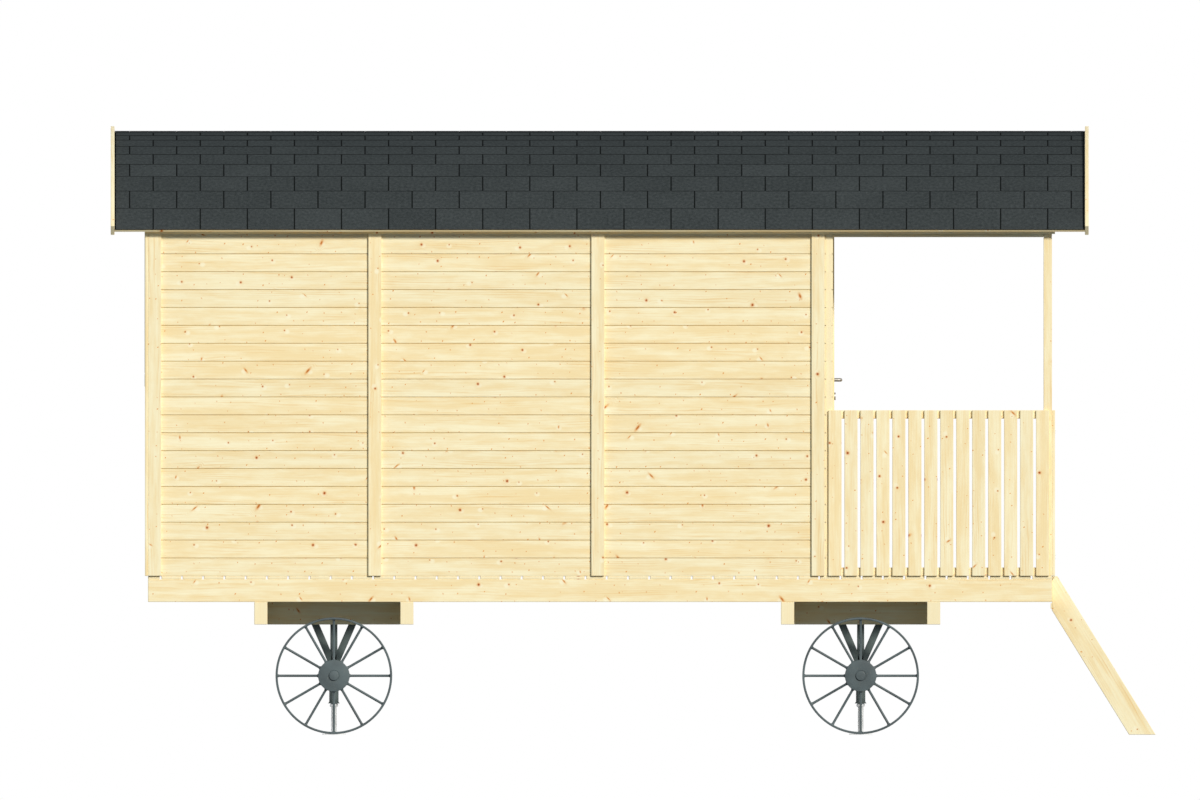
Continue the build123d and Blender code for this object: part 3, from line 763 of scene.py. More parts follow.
def linear(red: int, green: int, blue: int) -> tuple[float, float, float, float]:
    """A display colour of 0 to 255 as linear light: the power 2.4 above the toe.

    Args:
        red: Red, 0 to 255.
        green: Green, 0 to 255.
        blue: Blue, 0 to 255.

    Returns:
        The light's colour, with an alpha of 1.
    """
    shares = np.array([red, green, blue]) / 255
    light = np.where(shares > 0.04045, ((shares + 0.055) / 1.055) ** 2.4, shares / 12.92)
    return (*light.tolist(), 1.0)




# ---- Finishes ----


class Knots(NamedTuple):
    """The knots' own numbers, and how strongly each ring round them shows."""

    across: Value
    size: Value
    spike: Value
    core: Value
    rim: Value
    near: Value
    glow: Value


@dataclass(frozen=True)
class Pine:
    """Planed spruce: cream and honey bands, faint rings and streaks, knots of three kinds."""

    name: str
    cream: Colour = (252, 242, 206)
    honey: Colour = (245, 223, 174)
    ring: Colour = (232, 188, 118)
    spike: Colour = (222, 142, 46)
    knot: Colour = (170, 74, 6)
    glow: Colour = (254, 247, 218)
    knot_cell: Vector = (0.27, 0.105, 1.0)
    pin_cell: Vector = (0.085, 0.046, 1.0)
    pith_cell: Vector = (0.31, 0.23, 1.0)
    knot_share: float = 0.55
    spike_share: float = 0.4
    pin_share: float = 0.42
    rings_a_metre: float = 74.0
    end_rings_a_metre: float = 230.0
    roughness: float = 0.62
    specular: float = 0.14
    relief: float = 0.0003

    def build(self) -> Material:
        """Makes the material on the grain's own coordinates, in metres along and across.

        Returns:
            The material.
        """
        g = Graph.of_material(self.name)
        place, tone, end, _ = g.grain()
        face = 1 - end
        knots = self.knots(g, place, face)
        warp = g.noise(place, (1.1, 7, 1), 2)
        fibre = g.noise(place, (16, 950, 1), 2, 0.7)
        late = self.late_wood(g, place, warp, knots)

        colour = self.figure(g, place, tone, late, fibre)
        colour = g.mix(end * 0.8, colour, self.sawn_end(g, place, warp))
        colour = g.mix(knots.glow * 0.62, colour, self.glow)
        colour = g.mix(knots.near * 0.16, colour, self.ring)
        colour = g.mix(knots.rim * 0.5, colour, self.spike)
        colour = g.mix(self.pins(g, place, face), colour, self.spike)
        heart = g.mix(knots.spike * (1 - 0.6 * knots.size), self.knot, self.spike)
        colour = g.mix(knots.core * 0.96, colour, heart)
        shade = 0.965 + 0.05 * tone
        grey = g.node("ShaderNodeCombineColor", {}, dict.fromkeys(range(3), shade)).outputs[0]
        colour = g.mix(1.0, colour, grey, "MULTIPLY")
        g.bump(fibre * 0.5 + late * 0.3 - knots.core * 0.15, self.relief)
        rough = self.roughness + 0.12 * (fibre - 0.5) + 0.06 * late
        return g.finish(Base_Color=colour, Roughness=rough, Specular_IOR_Level=self.specular)

    def knots(self, g: Graph, place: Socket, face: Value) -> Knots:
        """Round knots, and slanted spikes where a branch was cut along its length.

        The reach from a knot's middle is the length of the offset over the knot's half
        length and half width, roughened by noise: 1 lies on its rim.

        Args:
            g: The material's graph.
            place: The place on the grain.
            face: 1 on the long faces.

        Returns:
            The knots' numbers.
        """
        away, size, chance, lean = self.scatter(g, place, self.knot_cell)
        along, across, _ = g.parts(away)
        spike = chance > 1 - self.knot_share * self.spike_share
        present = (chance > 1 - self.knot_share) * face
        slope = (lean - 0.5) * 2.2 * spike
        half_l = 0.0026 + 0.0045 * size * size
        half_w = half_l * (1.05 + 0.9 * spike)
        leaning = along - slope * across
        rough = g.noise(place, (110, 110, 1), 2) * 0.5
        reach = ((leaning / half_l) ** 2 + (across / half_w) ** 2) ** 0.5 + rough
        shift = (lean - 0.5) * 0.034
        glow_off = ((along - shift) / 0.017) ** 2 + ((across + 0.006) / 0.014) ** 2
        return Knots(
            across=across,
            size=size,
            spike=spike,
            core=(1 - reach.between(0.8, 1.35)) * present * (0.75 + 0.25 * size),
            rim=(1 - reach.between(1.2, 2.5)) * present,
            near=(1 - reach.between(1.0, 5.5)) * present,
            glow=(1 - glow_off.between(0.1, 1.25)) * present,
        )

    def pins(self, g: Graph, place: Socket, face: Value) -> Value:
        """Pin knots of 2 to 3 mm, each as strong as its own draw.

        Args:
            g: The material's graph.
            place: The place on the grain.
            face: 1 on the long faces.

        Returns:
            How strongly a pin knot shows.
        """
        away, size, chance, lean = self.scatter(g, place, self.pin_cell)
        along, across, _ = g.parts(away)
        reach = ((along - (lean - 0.5) * across) ** 2 + (across * 0.8) ** 2) ** 0.5
        radius = 0.0017 + 0.0016 * size
        pin = (1 - reach.between(radius * 0.7, radius * 1.5)) * (chance > 1 - self.pin_share)
        return pin * face * (0.45 + 0.5 * lean)

    def late_wood(self, g: Graph, place: Socket, warp: Value, knots: Knots) -> Value:
        """The dark side of each ring; the rings wander, and swell round a knot.

        Args:
            g: The material's graph.
            place: The place on the grain.
            warp: How the rings wander.
            knots: What they swell round.

        Returns:
            1 in the dark of a ring.
        """
        swell = knots.near * knots.across * 90
        saw = g.maths("FRACT", g.parts(place)[1] * self.rings_a_metre + warp * 7 - swell)
        return saw.between(0.45, 0.9) * (1 - saw.between(0.94, 1.0))

    def figure(self, g: Graph, place: Socket, tone: Value, late: Value, fibre: Value) -> Socket:
        """Cream and honey bands, with rings and dashes where the wood is livelier.

        Args:
            g: The material's graph.
            place: The place on the grain.
            tone: The board's own number.
            late: The dark of the rings.
            fibre: The finest lines.

        Returns:
            The colour of the plain wood.
        """
        band = g.noise(place, (1.5, 19, 1), 3, 0.55)
        cloud = g.noise(place, (6.5, 30, 1), 3, 0.6)
        pale = (band * 0.6 + cloud * 0.4 - 0.08 * (tone - 0.5)).between(0.36, 0.66)
        where = g.noise(place, (2.1, 24, 1), 3, 0.55).between(0.50, 0.74)
        dash = g.noise(place, (9, 210, 1), 2, 0.6).between(0.56, 0.76)
        colour = g.mix(pale, self.honey, self.cream)
        colour = g.mix(late * (0.08 + 0.55 * where) + dash * 0.20 * where, colour, self.ring)
        return g.mix((fibre - 0.42) * 0.16, colour, self.ring)

    def sawn_end(self, g: Graph, place: Socket, warp: Value) -> Socket:
        """Sawn ends: arcs of rings about a pith that lies off each end.

        Args:
            g: The material's graph.
            place: The place on the grain.
            warp: How the rings wander.

        Returns:
            The colour of a sawn end.
        """
        cell = g.vector("FRACTION", g.vector("DIVIDE", place, self.pith_cell))
        pith = g.vector("SUBTRACT", cell, (0.4, 0.6, 0))
        age = g.length(g.vector("MULTIPLY", pith, (*self.pith_cell[:2], 0)))
        rings = g.maths("FRACT", age * self.end_rings_a_metre + warp * 2).between(0.3, 0.95)
        return g.mix(rings * 0.30 + 0.05, self.cream, self.ring)

    @staticmethod
    def scatter(g: Graph, place: Socket, cell: Vector) -> tuple[Socket, Value, Value, Value]:
        """Spots strewn one to a cell.

        Args:
            g: The material's graph.
            place: The place on the grain.
            cell: A cell's size in metres.

        Returns:
            The offset from the nearest spot in metres, and three numbers drawn for it.
        """
        spot = g.vector("DIVIDE", place, cell)
        feeds = {"Vector": spot, "Scale": 1.0, "Randomness": 0.85}
        cells = g.node("ShaderNodeTexVoronoi", {"voronoi_dimensions": "2D"}, feeds)
        away = g.vector("MULTIPLY", g.vector("SUBTRACT", spot, cells.outputs["Position"]), cell)
        return away, *g.channels(cells.outputs["Color"])


@dataclass(frozen=True)
class Felt:
    """Mineral felt: dark stone granules pressed into bitumen, a little uneven from tab to tab."""

    name: str
    dark: Colour = (37, 41, 42)
    light: Colour = (84, 89, 90)
    cut: Colour = (20, 22, 22)
    relief: float = 0.0008

    def build(self) -> Material:
        """Makes the material: granules at two sizes over broad weathering.

        Returns:
            The material.
        """
        g = Graph.of_material(self.name)
        place, tone, _, face = g.grain()
        grit = g.noise(place, (420, 420, 1), 3, 0.75)
        clump = g.noise(place, (60, 60, 1), 3, 0.6)
        broad = g.noise(place, (2.2, 3.5, 1), 2)
        share = (grit - 0.5) * 1.4 + (clump - 0.5) * 0.6 + (broad - 0.5) * 0.2 + 0.04 * tone + 0.41
        colour = g.mix(share.between(0, 1), self.dark, self.light)
        colour = g.mix(face, self.cut, colour)
        g.bump(grit + clump * 0.6, self.relief)
        return g.finish(Base_Color=colour, Roughness=0.9 + 0.1 * (grit - 0.5), Specular_IOR_Level=0.0)


@dataclass(frozen=True)
class Paint:
    """Satin enamel on steel, with faint runs and dust."""

    name: str
    colour: Colour
    dust: Colour = (140, 140, 130)
    deep: float = 0.88
    pale: float = 1.09
    roughness: float = 0.45
    specular: float = 0.3
    relief: float = 0.00012

    def build(self) -> Material:
        """Makes the material: broad mottling, fine orange peel and a few dull specks.

        Returns:
            The material.
        """
        g = Graph.of_material(self.name)
        place = g.place()
        broad = g.noise(place, (7, 7, 7), 3)
        fine = g.noise(place, (260, 260, 260), 2)
        dust = g.noise(place, (38, 38, 22), 4, 0.7).between(0.56, 0.75)
        deep, pale = (tuple(int(c * share) for c in self.colour) for share in (self.deep, self.pale))
        colour = g.mix(broad.between(0.3, 0.7), deep, pale)
        colour = g.mix(dust * 0.16, colour, self.dust)
        g.bump(fine, self.relief)
        rough = self.roughness + 0.14 * (broad - 0.5) + 0.2 * dust
        return g.finish(Base_Color=colour, Roughness=rough, Specular_IOR_Level=self.specular)


@dataclass(frozen=True)
class Zinc:
    """Galvanised steel with its crystals."""

    name: str
    dark: Colour = (222, 225, 227)
    light: Colour = (240, 241, 242)
    crystals: float = 160.0
    relief: float = 0.00006

    def build(self) -> Material:
        """Makes the material: crystal cells of differing grey over a fine haze.

        Returns:
            The material.
        """
        g = Graph.of_material(self.name)
        place = g.place()
        feeds = {"Vector": place, "Scale": self.crystals, "Randomness": 1.0}
        cells = g.node("ShaderNodeTexVoronoi", {}, feeds)
        grey = g.channels(cells.outputs["Color"])[0]
        haze = g.noise(place, (40, 40, 40), 4, 0.6)
        colour = g.mix(grey * 0.6 + haze * 0.4, self.dark, self.light)
        g.bump(grey * 0.3 + haze, self.relief)
        return g.finish(Base_Color=colour, Roughness=0.4 + 0.15 * haze, Metallic=0.4)


@dataclass(frozen=True)
class SatinSteel:
    """Brushed stainless steel."""

    name: str
    dark: Colour = (158, 156, 153)
    light: Colour = (178, 176, 172)
    relief: float = 0.00004

    def build(self) -> Material:
        """Makes the material: fine brush lines round a mild tarnish.

        Returns:
            The material.
        """
        g = Graph.of_material(self.name)
        place = g.place()
        brush = g.noise(place, (900, 40, 900), 2, 0.6)
        cloud = g.noise(place, (30, 30, 30), 3)
        colour = g.mix(cloud.between(0.3, 0.7), self.dark, self.light)
        g.bump(brush, self.relief)
        return g.finish(Base_Color=colour, Roughness=0.46 + 0.12 * brush, Metallic=1.0)


@dataclass(frozen=True)
class Glass:
    """Clear window glass, seen through and lightly mirrored."""

    name: str
    dark: Colour = (176, 196, 196)
    light: Colour = (190, 206, 206)

    def build(self) -> Material:
        """Makes the material: nearly clear, with a faint unevenness in its gloss.

        Returns:
            The material.
        """
        g = Graph.of_material(self.name)
        wave = g.noise(g.place(), (3, 3, 3), 2)
        colour = g.mix(wave, self.dark, self.light)
        return g.finish(Base_Color=colour, Roughness=0.03 + 0.04 * wave, Alpha=0.26 + 0.04 * wave, IOR=1.5)


class Finishes:
    """One of each finish, made once."""

    def __init__(self) -> None:
        """Builds every material of the hut."""
        self.deal = Dressing(Pine("spruce").build(), "deal")
        self.cladding = Dressing(Pine("spruce_cladding", knot_share=0.72).build(), "cladding")
        self.deck = Dressing(Pine("spruce_deck", roughness=0.7).build(), "deck_deal")
        self.felt = Dressing(Felt("mineral_felt").build(), "shingle")
        bitumen = Felt("bitumen_sheet", dark=(18, 20, 20), light=(34, 37, 37))
        self.bitumen = Dressing(bitumen.build(), "shingle")
        self.wheel = Dressing(Paint("wheel_enamel", (82, 93, 96)).build(), "wheel_paint")
        # The stands' enamel is a touch darker and less blue than the wheels': painted shade for the base's
        # shadow over the stands.
        self.stand = Dressing(Paint("stand_enamel", (80, 91, 91), roughness=0.5).build(), "stand_paint")
        self.zinc = Dressing(Zinc("zinc_coat").build(), "zinc")
        self.steel = Dressing(SatinSteel("satin_stainless").build(), "satin_steel")
        self.glass = Dressing(Glass("clear_glass").build(), "glass")


# ---- The arch ----


@dataclass(frozen=True)
class Arch:
    """The circle that the roof, the wall tops and the ribs share, seen along X."""

    axis: float
    outer: float
    boards: float
    under: float
    lower: float
    half_angle: float

    @staticmethod
    def from_frame(rib_depth: float = 0.12) -> "Arch":
        """Works the circle out from the roof's own boxes.

        A chord of half width w at a depth h below the crown gives the radius
        (w * w + h * h) / (2 * h). The box's lowest point is the inner corner of the
        eave's radial cut: with the angle a and the shell t, w = R sin a and the box is
        R - (R - t) cos a deep, so h = depth - t cos a. Substitution settles R.

        Args:
            rib_depth: Depth of the ribs.

        Returns:
            The arch.
        """
        shingles = Box.of("roof_shingles")
        rib_top = Box.of("porch_arch").z[1]
        half, crown = shingles.y[1], shingles.z[1]
        shell, depth = crown - Box.of("roof_boards").z[1], crown - shingles.z[0]
        radius = (half**2 + depth**2) / (2 * depth)
        for _ in range(40):
            drop = depth - shell * sqrt(1 - (half / radius) ** 2)
            radius = (half**2 + drop**2) / (2 * drop)
        axis = crown - radius
        under = rib_top - axis
        return Arch(axis, radius, radius - shell, under, under - rib_depth, float(np.arcsin(half / radius)))

    def half_width(self, height: Array | float) -> Array:
        """Half width of the space under the roof boards at a height."""
        return np.sqrt(np.maximum(self.under**2 - (np.asarray(height) - self.axis) ** 2, 0))

    def height(self, y: float) -> float:
        """Height of the underside of the roof boards at a distance from the middle."""
        return self.axis + sqrt(self.under**2 - y * y)

    def polar(self, points: Array) -> Array:
        """Turns (y, z, x) into (arc length, radius, x) for grain that follows the arch.

        Args:
            points: Rows of (y, z, x).

        Returns:
            Rows along the arch.
        """
        rise = points[:, 1] - self.axis
        radius = np.hypot(points[:, 0], rise)
        return np.stack([np.arctan2(points[:, 0], rise) * self.under, radius, points[:, 2]], 1)

    def rolled(self, x: Array, radius: Array, angle: Array) -> Array:
        """Places points by their x, their radius and their angle from the crown."""
        return np.stack([x, radius * np.sin(angle), self.axis + radius * np.cos(angle)], 1)

    def plate(
        self, stack: Stack, x: Span, reach: float, foot: float | None = None, steps: int = 49
    ) -> None:
        """An arch under the roof: outer arc, upright ends and inner arc.

        Args:
            stack: Where it goes.
            x: Its two faces.
            reach: Half width at which it is cut upright.
            foot: Height at which its feet are cut level, or None for none.
            steps: Points on each arc.
        """
        over = np.arcsin(reach / self.under)
        level = foot is not None
        below = np.arccos((foot - self.axis) / self.lower) if level else np.arcsin(reach / self.lower)
        arcs = [
            np.stack([radius * np.sin(angle), self.axis + radius * np.cos(angle)], 1)
            for radius, angle in (
                (self.under, np.linspace(over, -over, steps)),
                (self.lower, np.linspace(-below, below, steps)),
            )
        ]
        feet = [[[-reach, foot]], [[reach, foot]]] if level else [np.empty((0, 2))] * 2
        outline = np.concatenate([arcs[0], feet[0], arcs[1], feet[1]])
        stack.add(slab(outline, *x, stack.edge), crosswise, flow=self.polar)

    def eave_strips(self, stack: Stack, x: Span, inner: float, outer: float, foot: float) -> None:
        """An upright strip along each side, its top cut to the roof.

        Args:
            stack: Where they go.
            x: Their two ends.
            inner: How far the inner face is from the middle.
            outer: How far the outer face is.
            foot: Height of the underside.
        """
        section = [[inner, foot], [outer, foot], [outer, self.height(outer)], [inner, self.height(inner)]]
        for sign in SIGNS:
            outline = (np.array(section) * [sign, 1])[::sign]
            stack.add(slab(outline, *x, stack.edge), crosswise, Grain.Z)


# ---- Sub-assemblies ----


@dataclass
class Base:
    """The floor frame: side beams, end rails, joists, axle beams and the deck boards."""

    finishes: Finishes
    edge: float = 0.002
    joist_w: float = 0.045
    axle_beam_w: float = 0.07
    deck_board_w: float = 0.104
    deck_gap: float = 0.0088
    deck_edge: float = 0.003

    def build(self) -> None:
        """Builds the timbers under the floor, then the floor."""
        self.floor_frame()
        self.axle_frames()
        self.deck()

    def floor_frame(self) -> None:
        """Two side beams with rails and joists between them."""
        beams, joists = Box.of("base_beams"), Box.of("base_joists")
        inner = Box.of("base_end_rails").y[1]
        stack = Stack(11, self.edge)
        for sign in SIGNS:
            stack.timber(beams.x, (sign * inner, sign * beams.y[1]), beams.z, Grain.X)
        stack.piece("side_beams", self.finishes.deal, "base_beams")
        stack = Stack(12, self.edge)
        for x in (beams.x[0], beams.x[1] - self.joist_w):
            stack.timber((x, x + self.joist_w), (-inner, inner), beams.z, Grain.Y)
        stack.piece("end_rails", self.finishes.deal, "base_end_rails")
        stack = Stack(13, self.edge)
        for y in (joists.y[0], -self.joist_w / 2, joists.y[1] - self.joist_w):
            stack.timber(joists.x, (y, y + self.joist_w), beams.z, Grain.X)
        stack.piece("floor_joists", self.finishes.deal, "base_joists")

    def axle_frames(self) -> None:
        """Two cross beams at each axle, and the rails between them that carry the stands."""
        beam = Box.of("axle_beams")
        outer = Box.of("axle_rails").y[1]
        beams, rails = Stack(14, self.edge), Stack(15, self.edge)
        for end, face in zip(End, beam.x):
            middle = Box.of(named("wheel", end, Side.LEFT)).centre[0]
            reach = abs(face - middle)
            for x in (middle - reach, middle + reach - self.axle_beam_w):
                beams.timber((x, x + self.axle_beam_w), beam.y, beam.z, Grain.Y)
            between = about(middle, 2 * (reach - self.axle_beam_w))
            for sign in SIGNS:
                rails.timber(between, (sign * (outer - self.joist_w), sign * outer), beam.z, Grain.X)
        beams.piece("cross_beams", self.finishes.deal, "axle_beams")
        rails.piece("stand_rails", self.finishes.deal, "axle_rails")

    def deck(self) -> None:
        """Deck boards across the whole base, laid from the porch end back."""
        deck = Box.of("deck_boards")
        stack = Stack(16, self.deck_edge)
        pitch = self.deck_board_w + self.deck_gap
        for i in range(int(np.ceil((deck.x[1] - deck.x[0]) / pitch))):
            front = deck.x[1] - i * pitch
            stack.timber((max(front - self.deck_board_w, deck.x[0]), front), deck.y, deck.z, Grain.Y)
        stack.piece("floor_boards", self.finishes.deck, "deck_boards")


@dataclass
class Boarding:
    """Grooved boards in an outer and an inner layer, laid in courses from the deck up."""

    cover: float = 0.095
    outer_t: float = 0.02
    slot: float = 0.0018
    slot_depth: float = 0.007
    edge: float = 0.0007

    def rows(self, low: float, high: float, face_up: bool) -> list[Span]:
        """Heights and insets of a board whose face is drawn in all round by half a joint's slot.

        Args:
            low: Height of the lower face.
            high: Height of the upper face.
            face_up: Whether the upper one shows.

        Returns:
            The rows, upwards.
        """
        steps = [(0.0, self.slot + self.edge), (self.edge, self.slot), (self.slot_depth, self.slot)]
        steps.append((self.slot_depth, 0.0))
        if face_up:
            return [(low, 0.0)] + [(high - depth, draw) for depth, draw in reversed(steps)]
        return [(low + depth, draw) for depth, draw in steps] + [(high, 0.0)]

    def closed(self, foot: float, lowest: float) -> float:
        """A board's foot, set down by the slot where it is the wall's: no joint shows there."""
        return foot if foot > lowest else lowest - self.slot

    def course(self, stack: Stack, outline: Array | list, faces: Span, face_up: bool, seat: Bend) -> None:
        """One board: its outline, its two faces, which of them shows, and its place."""
        stack.add(tiers(outline, self.rows(*faces, face_up)), seat)


@dataclass
class Cabin:
    """Boarded walls, their battens and corner boards, and the rear window."""

    finishes: Finishes
    arch: Arch
    boarding: Boarding
    least_h: float = 0.008
    least_l: float = 0.02
    end_points: int = 7
    batten_w: float = 0.07
    batten_edge: float = 0.002
    casing_edge: float = 0.003
    rib_t: float = 0.045
    rebate: float = 0.006
    bar_w: float = 0.022
    bar_t: float = 0.014
    cross_bar: float = 0.62
    crown_gap: float = 0.004
    batten_gap: float = 0.001

    def build(self) -> None:
        """Builds the side, rear and front walls, then what is fixed to them."""
        for side in Side:
            self.side_wall(side)
        wall = Box.of("wall_rear")
        self.cross_wall("rear", wall, wall.z[0], 23, Box.of("window_frame"))
        foot = Box.of("wall_front_right").z[0]
        for seed, part in enumerate(("front_right", "front_left", "front_top"), 24):
            self.cross_wall(part, Box.of(f"wall_{part}"), foot, seed)
        self.battens()
        self.window_casing()
        self.window_sash()

    def side_wall(self, side: Side) -> None:
        """Boards along one side, with their slots on both faces of the wall.

        Args:
            side: The wall's side.
        """
        node = named("wall", side)
        wall = Box.of(node)
        length = wall.x[1] - wall.x[0]
        middle = wall.far - self.boarding.outer_t
        stack = Stack(20 + side.value)

        def seat(points: Array) -> Array:
            """Sets a board upright from the wall's rear end."""
            return lengthwise(points) + [wall.x[0], 0, 0]

        for near, far, outer in ((middle, wall.far, True), (wall.near, middle, False)):
            faces = (near, far) if side is Side.RIGHT else (-far, -near)
            for foot, head in courses(wall.z[0], self.arch.height(far), self.boarding.cover):
                foot = self.boarding.closed(foot, wall.z[0])
                board = [[0, foot], [length, foot], [length, head], [0, head]]
                face_up = outer == (side is Side.RIGHT)
                self.boarding.course(stack, board, faces, face_up, seat)
        stack.piece(named("cladding", side), self.finishes.cladding, node)

    def cross_wall(self, part: str, wall: Box, start: float, seed: int, hole: Box | None = None) -> None:
        """Courses across the hut up to the roof, their ends cut to the arch.

        Args:
            part: The wall's name.
            wall: Its box.
            start: Underside of the first course, which sets the joints.
            seed: Its random seed.
            hole: An opening that the boards are cut round.
        """
        stack = Stack(seed)
        outer_t = self.boarding.outer_t
        middle = wall.x[0] + outer_t if wall.x[0] < 0 else wall.x[1] - outer_t
        top = self.arch.axis + self.arch.under - self.crown_gap
        for faces, face_up in (((wall.x[0], middle), False), ((middle, wall.x[1]), True)):
            for low, high in courses(start, top, self.boarding.cover):
                low = self.boarding.closed(low, wall.z[0])
                if high - low >= self.least_h:
                    for outline in self.cut_boards(wall.y, low, high, hole):
                        self.boarding.course(stack, outline, faces, face_up, crosswise)
        stack.piece(f"cladding_{part}", self.finishes.cladding, f"wall_{part}")

    def cut_boards(self, y: Span, low: float, high: float, hole: Box | None) -> list[Array]:
        """Outlines of one course: whole, notched for the opening, or in two parts beside it.

        Args:
            y: The wall's two sides.
            low: The course's underside.
            high: Its top.
            hole: The opening, if any.

        Returns:
            One outline for each board.
        """
        rise = np.linspace(low, high, self.end_points)
        reach = self.arch.half_width(rise)
        right = np.stack([np.minimum(y[1], reach), rise], 1)
        left = np.stack([np.maximum(y[0], -reach), rise], 1)[::-1]
        if right[:, 0].min() - left[:, 0].max() < self.least_l:
            return []
        ends = np.isin(np.arange(self.end_points), (0, self.end_points - 1))
        right = right[ends | (y[1] > reach.min())]
        left = left[ends | (-y[0] > reach.min())]
        if hole is None or high <= hole.z[0] or low >= hole.z[1]:
            return [np.concatenate([right, left])]
        (near, far), (sill, head) = hole.y, hole.z
        if low < sill:
            return [np.concatenate([right, [[far, high], [far, sill], [near, sill], [near, high]], left])]
        if high > head:
            return [np.concatenate([right, left, [[near, low], [near, head], [far, head], [far, low]]])]
        return [
            np.concatenate([[[far, low]], right, [[far, high]]]),
            np.concatenate([[[near, high]], left, [[near, low]]]),
        ]

    def battens(self) -> None:
        """Upright battens over the side walls' panel joints, and the rear corner boards."""
        box, ribs, corner = Box.of("side_battens"), Box.of("roof_ribs"), Box.of("rear_corner_boards")
        wall_face = Box.of("wall_left").y[1]
        top = self.arch.height(box.y[1]) - self.batten_gap
        centres = (
            box.x[0] + self.batten_w / 2,
            ribs.x[0] + self.rib_t / 2,
            ribs.x[1] - self.rib_t / 2,
            box.x[1] - self.batten_w / 2,
        )
        stack = Stack(27, self.batten_edge)
        for sign in SIGNS:
            for centre in centres:
                y = (sign * wall_face, sign * box.y[1])
                stack.timber(about(centre, self.batten_w), y, (box.z[0], top), Grain.Z)
        stack.piece("wall_battens", self.finishes.deal, "side_battens")
        stack = Stack(28, self.batten_edge)
        for sign in SIGNS:
            y = (sign * corner.y[1], sign * (corner.y[1] - self.batten_w))
            stack.timber(corner.x, y, (corner.z[0], top), Grain.Z)
        stack.piece("corner_boards", self.finishes.deal, "rear_corner_boards")

    def window_casing(self) -> None:
        """Upright casings between a top and a bottom one."""
        box, w = Box.of("window_casing"), self.batten_w
        stack = Stack(29, self.casing_edge)
        between = (box.z[0] + w, box.z[1] - w)
        stack.timber(box.x, (box.y[0], box.y[0] + w), between, Grain.Z)
        stack.timber(box.x, (box.y[1] - w, box.y[1]), between, Grain.Z)
        stack.timber(box.x, box.y, (box.z[1] - w, box.z[1]), Grain.Y)
        stack.timber(box.x, box.y, (box.z[0], box.z[0] + w), Grain.Y)
        stack.piece("window_surround", self.finishes.deal, "window_casing")

    def window_sash(self) -> None:
        """The frame with its sash in one, and the glazing bars."""
        box, pane = Box.of("window_frame"), Box.of("window_glass")
        y, z = pane.opening(self.rebate)
        stack = Stack(30, self.batten_edge)
        stiles(stack, box, y)
        stack.timber(box.x, y, (z[1], box.z[1]), Grain.Y)
        stack.timber(box.x, y, (box.z[0], z[0]), Grain.Y)
        middle = (sum(y) / 2, z[0] + (z[1] - z[0]) * self.cross_bar)
        glazing_bars(stack, pane.x, y, z, middle, self.bar_w, self.bar_t)
        stack.piece("window_sash", self.finishes.deal, "window_frame")


def stiles(stack: Stack, box: Box, y: Span) -> None:
    """The two uprights of a frame, beside an opening's span across."""
    stack.timber(box.x, (box.y[0], y[0]), box.z, Grain.Z)
    stack.timber(box.x, (y[1], box.y[1]), box.z, Grain.Z)


def glazing_bars(
    stack: Stack, pane: Span, y: Span, z: Span, middle: Span, width: float, depth: float
) -> None:
    """A cross of bars on each face of a pane.

    Args:
        stack: Where they go.
        pane: The pane's two faces.
        y: The span that the level bars cross.
        z: The span that the upright bars cross.
        middle: Where the bars meet, across and up.
        width: How wide a bar is.
        depth: How far it stands off the pane.
    """
    edge = 0.003
    for x in ((pane[0] - depth, pane[0]), (pane[1], pane[1] + depth)):
        stack.timber(x, about(middle[0], width), z, Grain.Z, edge)
        stack.timber(x, y, about(middle[1], width), Grain.Y, edge)


@dataclass
class Door:
    """Frame, and leaf with its boarded panel and glazing bars."""

    finishes: Finishes
    edge: float = 0.002
    gap: float = 0.005
    stop_w: float = 0.017
    stop_t: float = 0.010
    stop_edge: float = 0.001
    foot_rail: float = 0.19
    lock_rail: float = 0.15
    boards: int = 6
    board_edge: float = 0.003
    panel_recess: float = 0.009
    rebate: float = 0.006
    bar_w: float = 0.024
    bar_t: float = 0.012

    def build(self) -> None:
        """Builds the frame and the leaf."""
        self.frame()
        self.leaf()

    def frame(self) -> None:
        """Jambs, head and threshold, with the stop that the leaf closes against."""
        box, leaf = Box.of("door_frame"), Box.of("door_leaf")
        inner, top, foot = leaf.y[1] + self.gap, leaf.z[1] + self.gap, leaf.z[0] - self.gap
        lip = inner - self.stop_w
        stop = (box.x[1] - self.stop_t, box.x[1])
        stack = Stack(31, self.edge)
        for sign in SIGNS:
            stack.timber(box.x, (sign * inner, sign * box.y[1]), box.z, Grain.Z)
            stack.timber(stop, (sign * lip, sign * inner), (foot, top), Grain.Z, self.stop_edge)
        stack.timber(box.x, (-inner, inner), (top, box.z[1]), Grain.Y)
        stack.timber(box.x, (-inner, inner), (box.z[0], foot), Grain.Y)
        stack.timber(stop, (-lip, lip), (top - self.stop_w, top), Grain.Y, self.stop_edge)
        stack.piece("door_jambs", self.finishes.deal, "door_frame")

    def leaf(self) -> None:
        """Stiles and rails round a boarded panel below and barred glass above."""
        leaf, pane = Box.of("door_leaf"), Box.of("door_glass")
        y, z = pane.opening(self.rebate)
        panel = (leaf.z[0] + self.foot_rail, z[0] - self.lock_rail)
        stack = Stack(32, self.edge)
        stiles(stack, leaf, y)
        for rail in ((z[1], leaf.z[1]), (panel[1], z[0]), (leaf.z[0], panel[0])):
            stack.timber(leaf.x, y, rail, Grain.Y)
        width = (y[1] - y[0]) / self.boards
        x = (leaf.x[0] + self.panel_recess, leaf.x[1] - self.panel_recess)
        for i in range(self.boards):
            left = y[0] + i * width
            stack.timber(x, (left, left + width), panel, Grain.Z, self.board_edge)
        glazing_bars(stack, pane.x, y, z, (0.0, sum(z) / 2), self.bar_w, self.bar_t)
        stack.piece("door_boards", self.finishes.deal, "door_leaf", "door")


